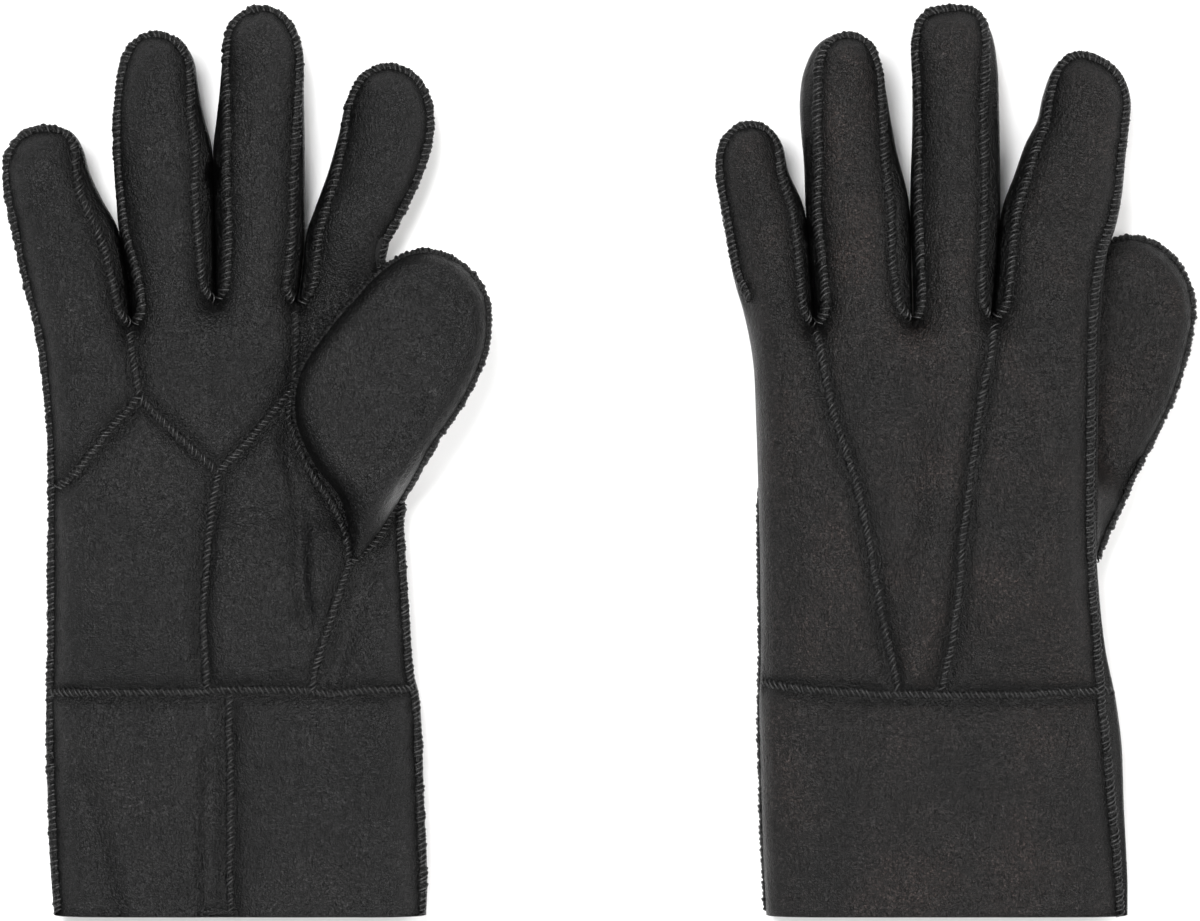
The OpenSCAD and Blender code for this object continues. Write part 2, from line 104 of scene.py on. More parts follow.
LEFT = {
    "name": "left",
    "palm_up": False,
    "slits": [
        [(-41.1, 183.5), (-42, 198), (-44, 219)],
        [(-10.8, 184.8), (-11.1, 200), (-11.7, 221)],
        [(13.7, 185.4), (14.9, 200), (16.4, 218)],
    ],
    "corners": [(-62.6, 184), (46.6, 190.5)],
    "tips": [(-61, 234.5), (-32.4, 260.5), (2.4, 269), (43, 254.5)],
    "edges": [
        [(-56, 0), (-57, 20), (-57.8, 48), (-58.2, 66), (-57.8, 76), (-58, 108), (-58.6, 133),
         (-59.2, 152), (-60.2, 172), (-62.8, 186), (-66.2, 198), (-69, 214), (-71.6, 230), (-71, 238),
         (-67.3, 244), (-62, 246.2), (-55.5, 244.8), (-51.2, 239.5), (-49.2, 231)],
        [(-44.4, 234), (-45.3, 244), (-45.6, 253), (-44.3, 262), (-39.8, 270.5), (-31.8, 274),
         (-24.8, 272), (-20.5, 264.5), (-18.9, 256), (-15.8, 238)],
        [(-10.8, 244), (-10.7, 258), (-11, 271), (-8.4, 279.3), (0.5, 282.2), (9.6, 281), (13.8, 274),
         (15.7, 264), (16.2, 250)],
        [(20.9, 230), (24.4, 239.5), (28, 246.5), (30, 255), (34, 264), (40.9, 268.2), (48.4, 266.3),
         (54.4, 261), (57.1, 253), (56.6, 245), (55.2, 234), (54.1, 224), (52, 214), (49.2, 206),
         (47.6, 196), (46.4, 182), (45.9, 160), (45.6, 138), (45.7, 116), (47, 97), (49.1, 82), (51.4, 72),
         (52.6, 66), (54.3, 53), (55, 35), (56.2, 10), (56.2, 0)],
    ],
    "thumb": [(37.4, 108.5), (42, 108), (46, 111), (49.4, 118.5), (56.4, 133.5), (64.4, 148.5),
              (70.5, 161.5), (75.5, 179), (76.6, 189), (73.8, 199), (66.7, 207), (58.9, 210), (51.8, 209),
              (43.5, 203), (36, 192), (28.5, 182), (22, 172), (18.9, 164), (18.4, 154), (23.3, 141),
              (32, 129), (36.2, 112)],
    "cuff_seam": [(-59.4, 72.4), (-40, 70), (-12, 68.6), (20, 68.4), (40, 69.2), (54, 70.4)],
    "hidden_cuff_seam": [(-59.4, 72.4), (-10, 69.5), (54, 70.4)],
}
# How far each finger seam lies inside the edge, by its Y: (left side, right side) of each edge
UNSEEN = [(184, 2.6), (230, 3)]
UNSEEN_TIP = 236  # a table that ends below this Y is for a side that isn't seen
PALM_INSETS = {
    "right": [
        ([(0, 0.8), (TIP, 0.6)], [(184, 2.2), (213, 4.6), (226, 4), (238, 1.2), (245, 0.5)]),
        ([(184, 3), (213, 1.4), (235, 0.9), (274, 0.5)],
         [(191, 2.2), (225, 4.6), (245, 3.2), (258, 1.2), (274, 0.5)]),
        ([(191, 2.5), (215, 3.4), (240, 3.6), (256, 1.6), (266, 0.8), (282, 0.5)],
         [(190, 3), (225, 2.6), (245, 1.4), (260, 0.7), (282, 0.5)]),
        ([(190, 3.2), (211, 3.2), (228, 2.2), (245, 1), (264, 0.5)], [(0, 0.7), (TIP, 0.5)]),
    ],
    "left": [
        ([(0, 0.3), (128, 0.3), (150, 3), (180, 3), (196, 0.8)], [(184, 2.2), (213, 3.6), (230, 2)]),
        (UNSEEN, UNSEEN), (UNSEEN, UNSEEN), (UNSEEN, None),
    ],
}
BACK_INSETS = {
    "left": [
        ([(190, 2), (198, 0.8), (246, 0.5)], [(184, 2.4), (219, 3.2), (232, 1.6), (240, 0.8), (246, 0.5)]),
        ([(184, 2.6), (219, 2.2), (238, 3.6), (256, 4.4), (266, 2.4), (274, 0.5)],
         [(185, 3), (205, 5.6), (225, 5.2), (245, 2), (258, 0.8), (274, 0.5)]),
        ([(185, 1.6), (221, 1.4), (250, 0.9), (282, 0.5)],
         [(185, 2.6), (210, 4.4), (250, 4.6), (266, 3), (276, 1), (282, 0.5)]),
        ([(185, 2.4), (218, 3.4), (238, 2.4), (250, 1.4), (268, 0.5)],
         [(0, 1.6), (24, 2.6), (53, 4.2), (66, 4), (74, 3), (85, 1.6), (115, 1.3), (200, 1.6), (215, 1.2),
          (TIP, 0.5)]),
    ],
    "right": [
        (None, [(184, 2.4), (219, 3.2), (232, 1.6)]),
        (UNSEEN, UNSEEN), (UNSEEN, UNSEEN), (UNSEEN, None),
    ],
}
THUMB_LEAN = math.radians(23.6)
THUMB_ALONG = np.array([math.sin(THUMB_LEAN), math.cos(THUMB_LEAN)])
THUMB_ACROSS = np.array([math.cos(THUMB_LEAN), -math.sin(THUMB_LEAN)])
THUMB_MID = np.array([51.0, 128.0]) - THUMB_ACROSS * 14
HEEL_FOLD = [(40.5, 108), (37, 96), (32.5, 84), (29.5, 75)]  # the deep fold beside the palm's last seam


# -------- numbers
def smooth(t):
    t = np.clip(t, 0, 1)
    return t * t * (3 - 2 * t)


def mix(a, b, t):
    return a + (b - a) * t


def unit(v):
    """The rows of v at length one."""
    return v / np.maximum(np.linalg.norm(v, axis=1), 1e-9)[:, None]


def right_of(t):
    """The plan directions to the right of the directions t."""
    return np.stack([t[:, 1], -t[:, 0]], 1)


def softened(line, times):
    """The line with every inner point drawn towards its neighbours."""
    for _ in range(times):
        line[1:-1] = (line[:-2] + 2 * line[1:-1] + line[2:]) / 4
    return line


def compact(faces, count):
    """The points that the faces use, and the faces with those points numbered from 0."""
    used = np.unique(faces)
    renumber = np.full(count, -1)
    renumber[used] = np.arange(len(used))
    return used, renumber[faces]


def eased(x, xs, ys):
    """Interpolation with level ends at every named value."""
    xs, ys = np.asarray(xs, float), np.asarray(ys, float)
    k = np.clip(np.searchsorted(xs, x) - 1, 0, len(xs) - 2)
    return mix(ys[k], ys[k + 1], smooth((x - xs[k]) / (xs[k + 1] - xs[k])))


def lumps(x, y):
    """Smooth noise from -1 to 1 with lumps about one unit wide."""
    xi, yi = np.floor(x).astype(int), np.floor(y).astype(int)
    fx, fy = smooth(x - xi), smooth(y - yi)
    at = lambda i, j: LATTICE[(xi + i) % 128, (yi + j) % 128]
    return mix(mix(at(0, 0), at(1, 0), fx), mix(at(0, 1), at(1, 1), fx), fy)


def curve(points, step=RIM_STEP):
    """A smooth line through the points, in even steps."""
    p = np.array(points, float)
    if len(p) > 2:
        p = np.vstack([2 * p[0] - p[1], p, 2 * p[-1] - p[-2]])
        t = np.linspace(0, 1, 16, endpoint=False)[:, None]
        rows = []
        for a, b, c, d in zip(p[:-3], p[1:-2], p[2:-1], p[3:]):
            lab, lbc, lcd = (max(np.linalg.norm(v) ** 0.5, 1e-6) for v in (b - a, c - b, d - c))
            m1 = (c - b) + lbc * ((b - a) / lab - (c - a) / (lab + lbc))
            m2 = (c - b) + lbc * ((d - c) / lcd - (d - b) / (lbc + lcd))
            rows.append((2 * t**3 - 3 * t**2 + 1) * b + (t**3 - 2 * t**2 + t) * m1
                        + (-2 * t**3 + 3 * t**2) * c + (t**3 - t**2) * m2)
        p = np.vstack(rows + [p[-2:-1]])
    return even(p, step)


def even(p, step):
    """The line's points again, in even steps along it."""
    run = np.concatenate([[0], np.cumsum(np.linalg.norm(np.diff(p, axis=0), axis=1))])
    n = max(2, round(run[-1] / step) + 1)
    at = np.linspace(0, run[-1], n)
    return np.stack([np.interp(at, run, p[:, k]) for k in range(p.shape[1])], 1)


def tangents(p):
    return unit(np.gradient(p, axis=0))


def distance(points, lines):
    """Distance of each point from the nearest of the lines."""
    a = np.vstack([l[:-1] for l in lines])
    b = np.vstack([l[1:] for l in lines])
    ab = b - a
    size = np.maximum((ab**2).sum(1), 1e-12)
    best = np.empty(len(points))
    for s in range(0, len(points), 3000):
        q = points[s:s + 3000, None, :] - a[None]
        t = np.clip((q * ab).sum(2) / size, 0, 1)
        best[s:s + 3000] = np.sqrt(((q - t[..., None] * ab) ** 2).sum(2)).min(1)
    return best


def inside(points, polygon):
    """Whether each plan point lies inside the polygon."""
    polygon = np.array(polygon, float)
    x, y = points[:, 0], points[:, 1]
    odd = np.zeros(len(points), bool)
    a, b = polygon, np.roll(polygon, -1, axis=0)
    for (ax, ay), (bx, by) in zip(a, b):
        if ay != by:
            cross = (ay > y) != (by > y)
            odd ^= cross & (x < (bx - ax) * (y - ay) / (by - ay) + ax)
    return odd


# -------- outlines and seams in plan
def edges_of(g):
    """The four edge lines, each up one side of a finger and down the other. The outer two reach the hem."""
    out = []
    for i, points in enumerate(g["edges"]):
        line = list(points)
        if i > 0:
            line = [(x + 0.2, y) for x, y in g["slits"][i - 1]] + line
        if i < 3:
            line = line + [(x - 0.2, y) for x, y in reversed(g["slits"][i])]
        out.append(curve(line))
    return out


def crotch(g, i):
    return np.array(g["slits"][i][0], float)


def knuckles(g):
    return np.array([g["corners"][0], *[s[0] for s in g["slits"]], g["corners"][1]], float)


def finger_axis(g, i):
    k = knuckles(g)
    mid = (k[i] + k[i + 1]) / 2
    tip = np.array(g["tips"][i], float)
    d = tip - mid
    return mid, d / np.linalg.norm(d), np.linalg.norm(d)


def finger_seams(i, edge, insets):
    """Seam lines inside an edge line, one for each run that has an inset."""
    y = edge[:, 1]
    top = int(y.argmax())
    left, right = insets
    amount = np.zeros(len(edge))
    keep = np.zeros(len(edge), bool)
    for side, table in ((slice(0, top + 1), left), (slice(top + 1, None), right)):
        if table:
            ys, vs = zip(*table)
            amount[side] = np.interp(y[side], ys, vs)
            keep[side] = y[side] >= ys[0] - 1
            if ys[-1] < UNSEEN_TIP:  # a seam on the hidden side ends before the tip
                keep[side] &= y[side] < y[top] - 9
    from_start = np.arange(len(edge)) * RIM_STEP
    for end, run in ((i > 0, from_start), (i < 3, from_start[::-1])):
        if end:
            amount = amount * smooth((run + 1.5) / 6)
    line = softened(edge + right_of(tangents(edge)) * amount[:, None], 3)
    runs, start = [], None
    for k in range(len(edge) + 1):
        if k < len(edge) and keep[k]:
            start = k if start is None else start
        elif start is not None:
            if k - start > 6:
                runs.append(line[start:k])
            start = None
    return runs


def palm_seams(g):
    c1, c3 = crotch(g, 0), crotch(g, 2)
    j1, j2, j3 = c1 + (2.8, -22.5), crotch(g, 1) + (1.8, -53.4), c3 + (-0.5, -26)
    drop = np.array([0, -1.5])
    lines = {
        "crotch_one": [c1 + drop, c1 + (1.2, -10), j1],
        "crotch_three": [c3 + drop, c3 + (0.4, -12), j3],
        "outer": [j1, j1 + (-8, -9.5), j1 + (-19.5, -22.5), (-57.2, 132.5)],
        "centre_left": [j1, j1 + (12.5, -12), j2],
        "centre_right": [j2, j2 + (11, 11.5), j3],
        "thumb_inner": [j3, (16.3, 154), (17.6, 147.5), (21.6, 140), (30.2, 128), (34.2, 119), (36, 109)],
        "thumb_outer": [(36, 109), (44.5, 118), (51, 129)],
        "heel_left": [j2, j2 + (-2.6, -14), (-9.9, 108.5), (-10.9, 91), (-9.6, 70)],
        "heel_right": [(36, 109), (33.2, 101), (30.1, 91), (24.8, 75), (23.3, 70)],
        "cuff_middle": [(-2.5, 69), (-2.6, 35), (-2.3, 1)],
    }
    return {key: curve(points) for key, points in lines.items()}


def back_seams(g):
    drop = np.array([0, -1.5])
    return {
        "left": curve([crotch(g, 0) + drop, (-36.9, 159), (-31.9, 143), (-27.3, 127), (-23.6, 108),
                       (-21.2, 92), (-17.7, 77.5), (-16.2, 70)]),
        "right": curve([crotch(g, 2) + drop, (11.8, 171), (9, 154), (6.2, 132), (4, 112), (2.5, 95.5),
                        (0.3, 81), (-1.9, 70)]),
    }


# -------- heights
FINGER_HEIGHT = 22.6
ROUNDNESS = 2.3  # of the section at an edge, where 2 would be an ellipse


def hand_heights(g, p):
    """How high the hand's underside lies, and how tall the hand is, at each plan point."""
    y = p[:, 1]
    t = np.clip((p[:, 0] + 61) / 110, 0, 1)  # 0 at the little finger's side and 1 at the thumb's
    outer = eased(y, [0, 69.5, 108, 132, 185], [21, 23, 27, 27, 25])
    inner = eased(y, [0, 69.5, 104, 136, 185], [21, 23, 25.5, 16, 16])
    lift = 0 if g["palm_up"] else eased(y, [60, 108, 138], [0, 7, g["lift"]])
    return lift * t, mix(outer, inner, t)


def body_heights(g, p, finger):
    floor, height = hand_heights(g, p)
    for i in range(4):
        on = finger == i
        if on.any():
            mid, along, reach = finger_axis(g, i)
            u = (p[on] - mid) @ along
            f = mix(floor[on], floor[on] * 0.4, smooth(u / (0.5 * reach)))
            floor[on] = f * (1 - smooth((u - 0.35 * reach) / (0.6 * reach)))
            height[on] = mix(height[on], FINGER_HEIGHT, smooth(u / (0.45 * reach)))
    return floor, height


def rim_radius(p):
    """How far in from an edge the hand or finger reaches its full height."""
    return mix(18.0, 12.3, smooth((p[:, 1] - 110) / 65))


def swell(d, radius):
    """Share of the full height at distance d inside an edge."""
    s = np.clip(d / radius, 0, 1)
    return (1 - (1 - s) ** ROUNDNESS) ** (1 / ROUNDNESS)


def creases(p, centre, reach, angle, spacing, depth):
    """A patch of parallel creases that run at the angle."""
    a = math.radians(angle)
    d = p - np.array(centre)
    along, over = d @ (math.cos(a), math.sin(a)), d @ (-math.sin(a), math.cos(a))
    mask = np.exp(-((along / reach[0]) ** 2) - (over / reach[1]) ** 2)
    bend = 1.1 * lumps(along / 9 + 17, over / 7 + 5) + 0.35 * lumps(along / 3 + 3, over / 3)
    wave = 1 - np.abs(np.sin(math.pi * (over / spacing + bend)))
    broken = 0.55 + 0.45 * lumps(along / 5 + 40, over / 4 + 9)
    return -1.7 * depth * mask * wave**1.5 * broken


def fold(p, points, width, depth):
    """A valley along a line."""
    d = distance(p, [curve(points)])
    return -1.5 * depth * np.exp(-((d / width) ** 2))


def unevenness(p, seed):
    s = seed * 13.7
    return sum(size * lumps(p[:, 0] / wide + s, p[:, 1] / long + s)
               for size, wide, long in ((0.42, 21, 26), (0.26, 8, 10), (0.09, 3.1, 3.4)))


# Creases: middle, reach along and across, angle, spacing, depth. Folds: line, width, depth (or a ridge)
PALM_CREASES = [
    ((-63, 222), (12, 15), -33, 2.5, 0.5), ((-50, 207), (22, 7), -60, 2.7, 0.55),
    ((-47, 168), (10, 8), 38, 3.2, 0.35), ((-22, 236), (14, 9), 80, 3.4, 0.2),
    ((8, 232), (22, 8), 84, 3.4, 0.22), ((0, 168), (12, 22), -25, 3.2, 0.2),
    ((-11, 22), (26, 4), 88, 2.6, 0.4), ((30, 50), (40, 18), 82, 5.5, 0.3),
    ((-35, 60), (30, 16), 80, 5, 0.25),
]
PALM_FOLDS = [
    ([(15, 147), (19, 128), (20, 108), (22, 91)], 2.6, 1.5), (HEEL_FOLD, 4, 3.0),
    ([(46, 100), (41, 86), (36, 74)], 2.2, 0.7), ([(-5, 118), (-3, 104)], 7, -0.9),
    ([(-6, 92), (-4, 80)], 8, -1.1), ([(26, 118), (25, 100)], 4, -1.1),
    ([(-47, 42), (-44, 24), (-37, -6)], 4.5, 1.5), ([(-7.5, 50), (-8.3, 25), (-8.4, -4)], 3, 2),
]
BACK_CREASES = [
    ((32, 214), (17, 15), 36, 2.3, 0.5), ((41, 193), (7, 16), 12, 2.4, 0.5),
    ((26, 190), (14, 6), 20, 2.6, 0.3), ((-58, 214), (20, 7), -64, 2.5, 0.45),
    ((-31, 255), (7, 9), 2, 5, 0.45), ((-22, 215), (22, 5), 80, 2.8, 0.3), ((6, 222), (22, 6), 70, 2.9, 0.3),
    ((-2, 208), (18, 6), 82, 2.9, 0.25), ((-50, 160), (30, 5), 86, 3.4, 0.25),
]
BACK_FOLDS = [
    ([(4, 165), (0, 130), (-8, 100), (-12, 75)], 8, -1.1), ([(-14, 150), (-13, 120)], 8, 0.9),
    ([(34, 140), (32, 100)], 8, -0.6), ([(-14, 52), (-20, 34)], 14, -0.9),
    ([(-44, 55), (-40, 30), (-45, 5)], 7, 0.7),
]


def relief_of(p, patches, folds):
    return sum(creases(p, *c) for c in patches) + sum(fold(p, *f) for f in folds)


# -------- meshes
EDGE_RINGS = [0.12, 0.4, 0.9, 1.6, 2.5]  # distances inside an outline


def triangulate(outline, grid):
    """Triangles over a closed outline: its own points first, then rings inside it, then an even grid."""
    n = len(outline)
    inward = right_of(unit(np.roll(outline, -1, axis=0) - np.roll(outline, 1, axis=0)))
    closed = np.vstack([outline, outline[:1]])
    free = []
    for k, off in enumerate(EDGE_RINGS):
        shift = 0.5 * (k % 2)
        base = mix(outline, np.roll(outline, -1, axis=0), shift) + inward * off
        if off > 2:
            base = base[::2]
        free.append(base[distance(base, [closed]) > off * 0.93])
    low, high = outline.min(0), outline.max(0)
    xs = np.arange(low[0], high[0], grid)
    ys = np.arange(low[1], high[1], grid * 0.866)
    gx, gy = np.meshgrid(xs, ys)
    gx = gx + (np.arange(len(ys)) % 2)[:, None] * grid / 2
    hexes = np.stack([gx.ravel(), gy.ravel()], 1)
    hexes = hexes[inside(hexes, outline)]
    free.append(hexes[distance(hexes, [closed]) > EDGE_RINGS[-1] + grid * 0.45])
    free = np.vstack(free)
    free = free[inside(free, outline)]
    coords = [Vector(c) for c in outline] + [Vector(c) for c in free]
    out = geometry.delaunay_2d_cdt(coords, [], [list(range(n))], 1, 1e-5)
    verts, faces, origin = np.array([v[:] for v in out[0]]), np.array([f for f in out[2]]), out[3]
    rim = np.full(n, -1)
    for k, o in enumerate(origin):
        for j in o:
            if j < n:
                rim[j] = k
    v = verts[faces]
    area = np.cross(v[:, 1] - v[:, 0], v[:, 2] - v[:, 0])
    faces[area < 0] = faces[area < 0][:, ::-1]
    return verts, faces, rim


def relaxed(z, faces, weight, times):
    """The points' values with each drawn towards the mean of its neighbours."""
    e = np.vstack([faces[:, [0, 1]], faces[:, [1, 2]], faces[:, [2, 0]]])
    count = np.bincount(e[:, 0], minlength=len(z)) + np.bincount(e[:, 1], minlength=len(z))
    for _ in range(times):
        total = np.bincount(e[:, 0], z[e[:, 1]], len(z)) + np.bincount(e[:, 1], z[e[:, 0]], len(z))
        z = mix(z, total / np.maximum(count, 1), weight)
    return z


def point_normals(v, f):
    a = np.cross(v[f[:, 1]] - v[f[:, 0]], v[f[:, 2]] - v[f[:, 0]])
    n = np.zeros_like(v)
    for k in range(3):
        for c in range(3):
            n[:, c] += np.bincount(f[:, k], a[:, c], len(v))
    return unit(n)


class Shell:
    """A surface of two sheets that meet along an outline, and each point's distance from a seam."""

    def __init__(self, top, bottom):
        (tv, tf, tr, ts), (bv, bf, br, bs) = top, bottom
        remap = np.arange(len(bv)) + len(tv)
        remap[br] = tr
        self.v = np.vstack([tv, bv])
        self.f = np.vstack([tf, remap[bf][:, ::-1]])
        self.upper = np.arange(len(self.f)) < len(tf)
        self.seam = np.concatenate([ts, bs])
        used, self.f = compact(self.f, len(self.v))
        self.v, self.seam = self.v[used], self.seam[used]
        self.n = point_normals(self.v, self.f)
        self.tree = BVHTree.FromPolygons([tuple(c) for c in self.v], [tuple(c) for c in self.f.tolist()])

    def centres(self):
        return self.v[self.f].mean(1)

    def on_surface(self, points):
        """The nearest place on the surface to each point, and the surface's direction there."""
        out, normal = [], []
        for p in points:
            place, n, _, _ = self.tree.find_nearest(Vector(p))
            out.append(place[:])
            normal.append(n[:])
        return softened(np.array(out), 4), unit(softened(np.array(normal), 4))


def make_object(g, name, verts, faces, normals=None, seam=None):
    """An object from mm in the glove's own frame."""
    world = (verts + np.array([g["x"], g["y"], 0])) * MM
    mesh = bpy.data.meshes.new(name)
    mesh.from_pydata(world.tolist(), [], [list(f) for f in faces])
    mesh.validate()
    mesh.polygons.foreach_set("use_smooth", [True] * len(mesh.polygons))
    place = mesh.attributes.new("leather_place", "FLOAT_VECTOR", "POINT")
    place.data.foreach_set("vector", (verts + np.array([g["seed"], 0, 0])).astype(np.float32).ravel())
    if seam is not None:
        mesh.attributes.new("seam", "FLOAT", "POINT").data.foreach_set("value", seam.astype(np.float32))
    if normals is not None:
        mesh.normals_split_custom_set_from_vertices(normals.tolist())
    obj = bpy.data.objects.new(name, mesh)
    bpy.context.scene.collection.objects.link(obj)
    return obj


def cut_out(g, name, shell, chosen):
    """The chosen faces of a shell as their own object."""
    used, faces = compact(shell.f[chosen], len(shell.v))
    return make_object(g, name, shell.v[used], faces.tolist(), shell.n[used], shell.seam[used])


# Half widths and rises of the welts along the edges and of the ridges across the leather
EDGE_WELT, RIDGE = (1.5, 1.7), (1.25, 1.15)
PITCH = 1.7  # from stitch to stitch
STEP = PITCH / 4  # along a welt
AROUND = 9  # points across a welt
STITCH_ROWS = 7  # rings of four points in a stitch
# CLEAR_OF_SEAMS is a seam distance at which the leather gets no painted seam shade.
CLEAR_OF_SEAMS = 9.0  # a distance at which the leather has no darkening


def seam_meshes(points, normals, half, rise):
    """The welt of a seam, its two raised leather edges whipped with thread, and the thread's stitches."""
    line = even(np.hstack([points, normals]), STEP)
    p, n = line[:, :3], line[:, 3:]
    t = tangents(p)
    n = unit(n - (n * t).sum(1)[:, None] * t)
    b = np.cross(t, n)
    count = len(p)
    s = np.arange(count) * STEP
    ends = np.minimum(smooth((s + 0.3) / 2.5), smooth((s[-1] - s + 0.3) / 2.5))
    soft = 1 + 0.1 * lumps(s / 4.3 + 9, s * 0 + p[0, 0]) + 0.22 * lumps(s / 1.5, s * 0 + p[0, 1])
    phase = s / PITCH + 0.3 * lumps(s / 5, s * 0 + p[-1, 0])
    verts = np.empty((count, AROUND, 3))
    for k, a in enumerate(np.linspace(-0.12, math.pi + 0.12, AROUND)):
        bump = soft + 0.1 * np.cos(2 * math.pi * (phase + 0.25 * math.cos(a)))
        side = math.cos(a) * half * bump * ends
        dip = 1 - 0.2 * math.exp(-((a - math.pi / 2) / 0.3) ** 2)
        verts[:, k] = p + b * side[:, None] + n * ((math.sin(a) * rise * dip * bump - 0.35) * ends)[:, None]
    faces = [(i * AROUND + k, i * AROUND + k + 1, (i + 1) * AROUND + k + 1, (i + 1) * AROUND + k)
             for i in range(count - 1) for k in range(AROUND - 1)]
    stitch_v, stitch_f = [], []
    arc = np.linspace(0.05, math.pi - 0.05, STITCH_ROWS)
    for m in np.arange(PITCH / 2, s[-1], PITCH):
        i = min(int(m / STEP + rng.random() * 2), count - 2)
        wobble = lumps(np.array([m * 1.3 + p[0, 0]]), np.array([p[0, 1]]))[0]
        thick = 0.24 + 0.08 * wobble
        centre = np.array([p[i] + t[i] * (0.5 + 0.25 * wobble) * PITCH * math.cos(a)
                           + b[i] * math.cos(a) * half * soft[i] * 1.03
                           + n[i] * (math.sin(a) * rise * soft[i] * 0.95 - 0.28) for a in arc])
        ct = tangents(centre)
        out = centre - (p[i] + n[i] * 0.2)
        out = unit(out - (out * ct).sum(1)[:, None] * ct)
        other = np.cross(ct, out)
        start = len(stitch_v)
        for c, o, w in zip(centre, out, other):
            for q in range(4):
                turn = q * math.pi / 2
                stitch_v.append(c + (o * math.cos(turn) + w * 1.2 * math.sin(turn)) * thick)
        for k in range(len(arc) - 1):
            for q in range(4):
                a0, a1 = start + k * 4 + q, start + k * 4 + (q + 1) % 4
                stitch_f.append((a0, a1, a1 + 4, a0 + 4))
    return (verts.reshape(-1, 3), faces), (np.array(stitch_v).reshape(-1, 3), stitch_f)


class Gathered:
    """Meshes that end up in one object."""

    def __init__(self):
        self.v, self.f, self.n = [], [], 0

    def add(self, verts, faces):
        if len(verts):
            self.f += [tuple(c + self.n for c in face) for face in faces]
            self.v.append(verts)
            self.n += len(verts)


# -------- materials
def material(name):
    m = bpy.data.materials.new(name)
    m.use_nodes = True
    tree = m.node_tree
    tree.nodes.clear()
    out = tree.nodes.new("ShaderNodeOutputMaterial")
    shader = tree.nodes.new("ShaderNodeBsdfPrincipled")
    tree.links.new(shader.outputs[0], out.inputs[0])

    def node(kind, links=None, **values):
        n = tree.nodes.new("ShaderNode" + kind)
        for key, value in values.items():
            if hasattr(n, key):
                setattr(n, key, value)
            else:
                n.inputs[key.replace("_", " ")].default_value = value
        for key, source in (links or {}).items():
            tree.links.new(source, n.inputs[key])
        return n

    return m, tree, shader, node


def multiplied(node, a, b):
    return node("Mix", {6: a, 7: b}, data_type="RGBA", blend_type="MULTIPLY", Factor=1.0).outputs[2]


def ramp(node, source, stops):
    r = node("ValToRGB", {0: source})
    e = r.color_ramp.elements
    while len(e) < len(stops):
        e.new(0.5)
    for el, (at, c) in zip(e, stops):
        el.position = at
        el.color = (*c, 1) if isinstance(c, tuple) else (c, c, c, 1)
    return r.outputs[0]


def leather(name, dark, light, warm, grain):
    m, tree, shader, node = material(name)
    place = node("Attribute", attribute_name="leather_place").outputs["Vector"]
    seam = node("Attribute", attribute_name="seam").outputs["Fac"]
    warp = node("TexNoise", {"Vector": place}, Scale=0.09, Detail=2.0)
    pebbles = node("TexVoronoi", {"Vector": place}, Scale=1.25, Randomness=1.0, feature="DISTANCE_TO_EDGE")
    fine = node("TexNoise", {"Vector": place}, Scale=1.15, Detail=2.0, Roughness=0.6)
    stretched = node("Mapping", {"Vector": place}, Scale=(1.0, 0.42, 1.0), Rotation=(0, 0, 0.45))
    lines = node("TexNoise", {"Vector": stretched.outputs[0]}, Scale=0.62, Detail=5.0, Roughness=0.62,
                 Distortion=0.7)
    blotch = node("TexNoise", {"Vector": place}, Scale=0.035, Detail=4.0, Roughness=0.6)
    base = ramp(node, blotch.outputs["Fac"], [(0.34, dark), (0.52, light), (0.7, warm)])
    grit = ramp(node, fine.outputs["Fac"], [(0.38, 0.3), (0.5, 0.8), (0.58, 1.4), (0.68, 4.0)])
    cracks = ramp(node, pebbles.outputs["Distance"], [(0.0, 0.3), (0.12, 0.9), (0.3, 1.35)])
    grained = multiplied(node, multiplied(node, base, grit), cracks)
    # Painted shade: the colour darkens most from 1 to 3 mm beside each seam's line, where the grooves lie in
    # shade, and is back to full by 6 mm out.
    near = node("Math", {0: seam}, operation="MULTIPLY")
    near.inputs[1].default_value = 0.1  # 10 mm from a seam is the ramp's end
    painted_seam_shade = ramp(node, near.outputs[0], [(0.0, 0.3), (0.13, 0.1), (0.27, 0.15), (0.36, 0.6), (0.6, 1.0)])
    tree.links.new(multiplied(node, grained, painted_seam_shade), shader.inputs["Base Color"])
    rough = node("MapRange", {"Value": warp.outputs["Fac"]}, From_Min=0.3, From_Max=0.7, To_Min=0.26,
                 To_Max=0.38)
    grainy = node("Math", {0: fine.outputs["Fac"]}, operation="MULTIPLY_ADD")
    grainy.inputs[1].default_value = 0.12
    tree.links.new(rough.outputs[0], grainy.inputs[2])
    tree.links.new(grainy.outputs[0], shader.inputs["Roughness"])
    shader.inputs["Specular IOR Level"].default_value = 0.2
    pits = ramp(node, pebbles.outputs["Distance"], [(0.0, 0.0), (0.3, 1.0)])
    wrinkled = node("Bump", {"Height": lines.outputs["Fac"]}, Strength=0.55, Distance=0.0012)
    pitted = node("Bump", {"Height": pits, "Normal": wrinkled.outputs[0]}, Strength=grain, Distance=0.00016)
    rough_skin = node("Bump", {"Height": fine.outputs["Fac"], "Normal": pitted.outputs[0]}, Strength=grain,
                      Distance=0.0004)
    tree.links.new(rough_skin.outputs[0], shader.inputs["Normal"])
    return m


def fibre(name, dark, light, scale, rough, bump_distance, strength):
    m, tree, shader, node = material(name)
    place = node("Attribute", attribute_name="leather_place").outputs["Vector"]
    noise = node("TexNoise", {"Vector": place}, Scale=scale, Detail=5.0, Roughness=0.7)
    colour = ramp(node, noise.outputs["Fac"], [(0.35, dark), (0.68, light)])
    tree.links.new(colour, shader.inputs["Base Color"])
    rg = node("MapRange", {"Value": noise.outputs["Fac"]}, To_Min=rough - 0.1, To_Max=rough + 0.08)
    tree.links.new(rg.outputs[0], shader.inputs["Roughness"])
    bump = node("Bump", {"Height": noise.outputs["Fac"]}, Strength=strength, Distance=bump_distance)
    tree.links.new(bump.outputs[0], shader.inputs["Normal"])
    return m


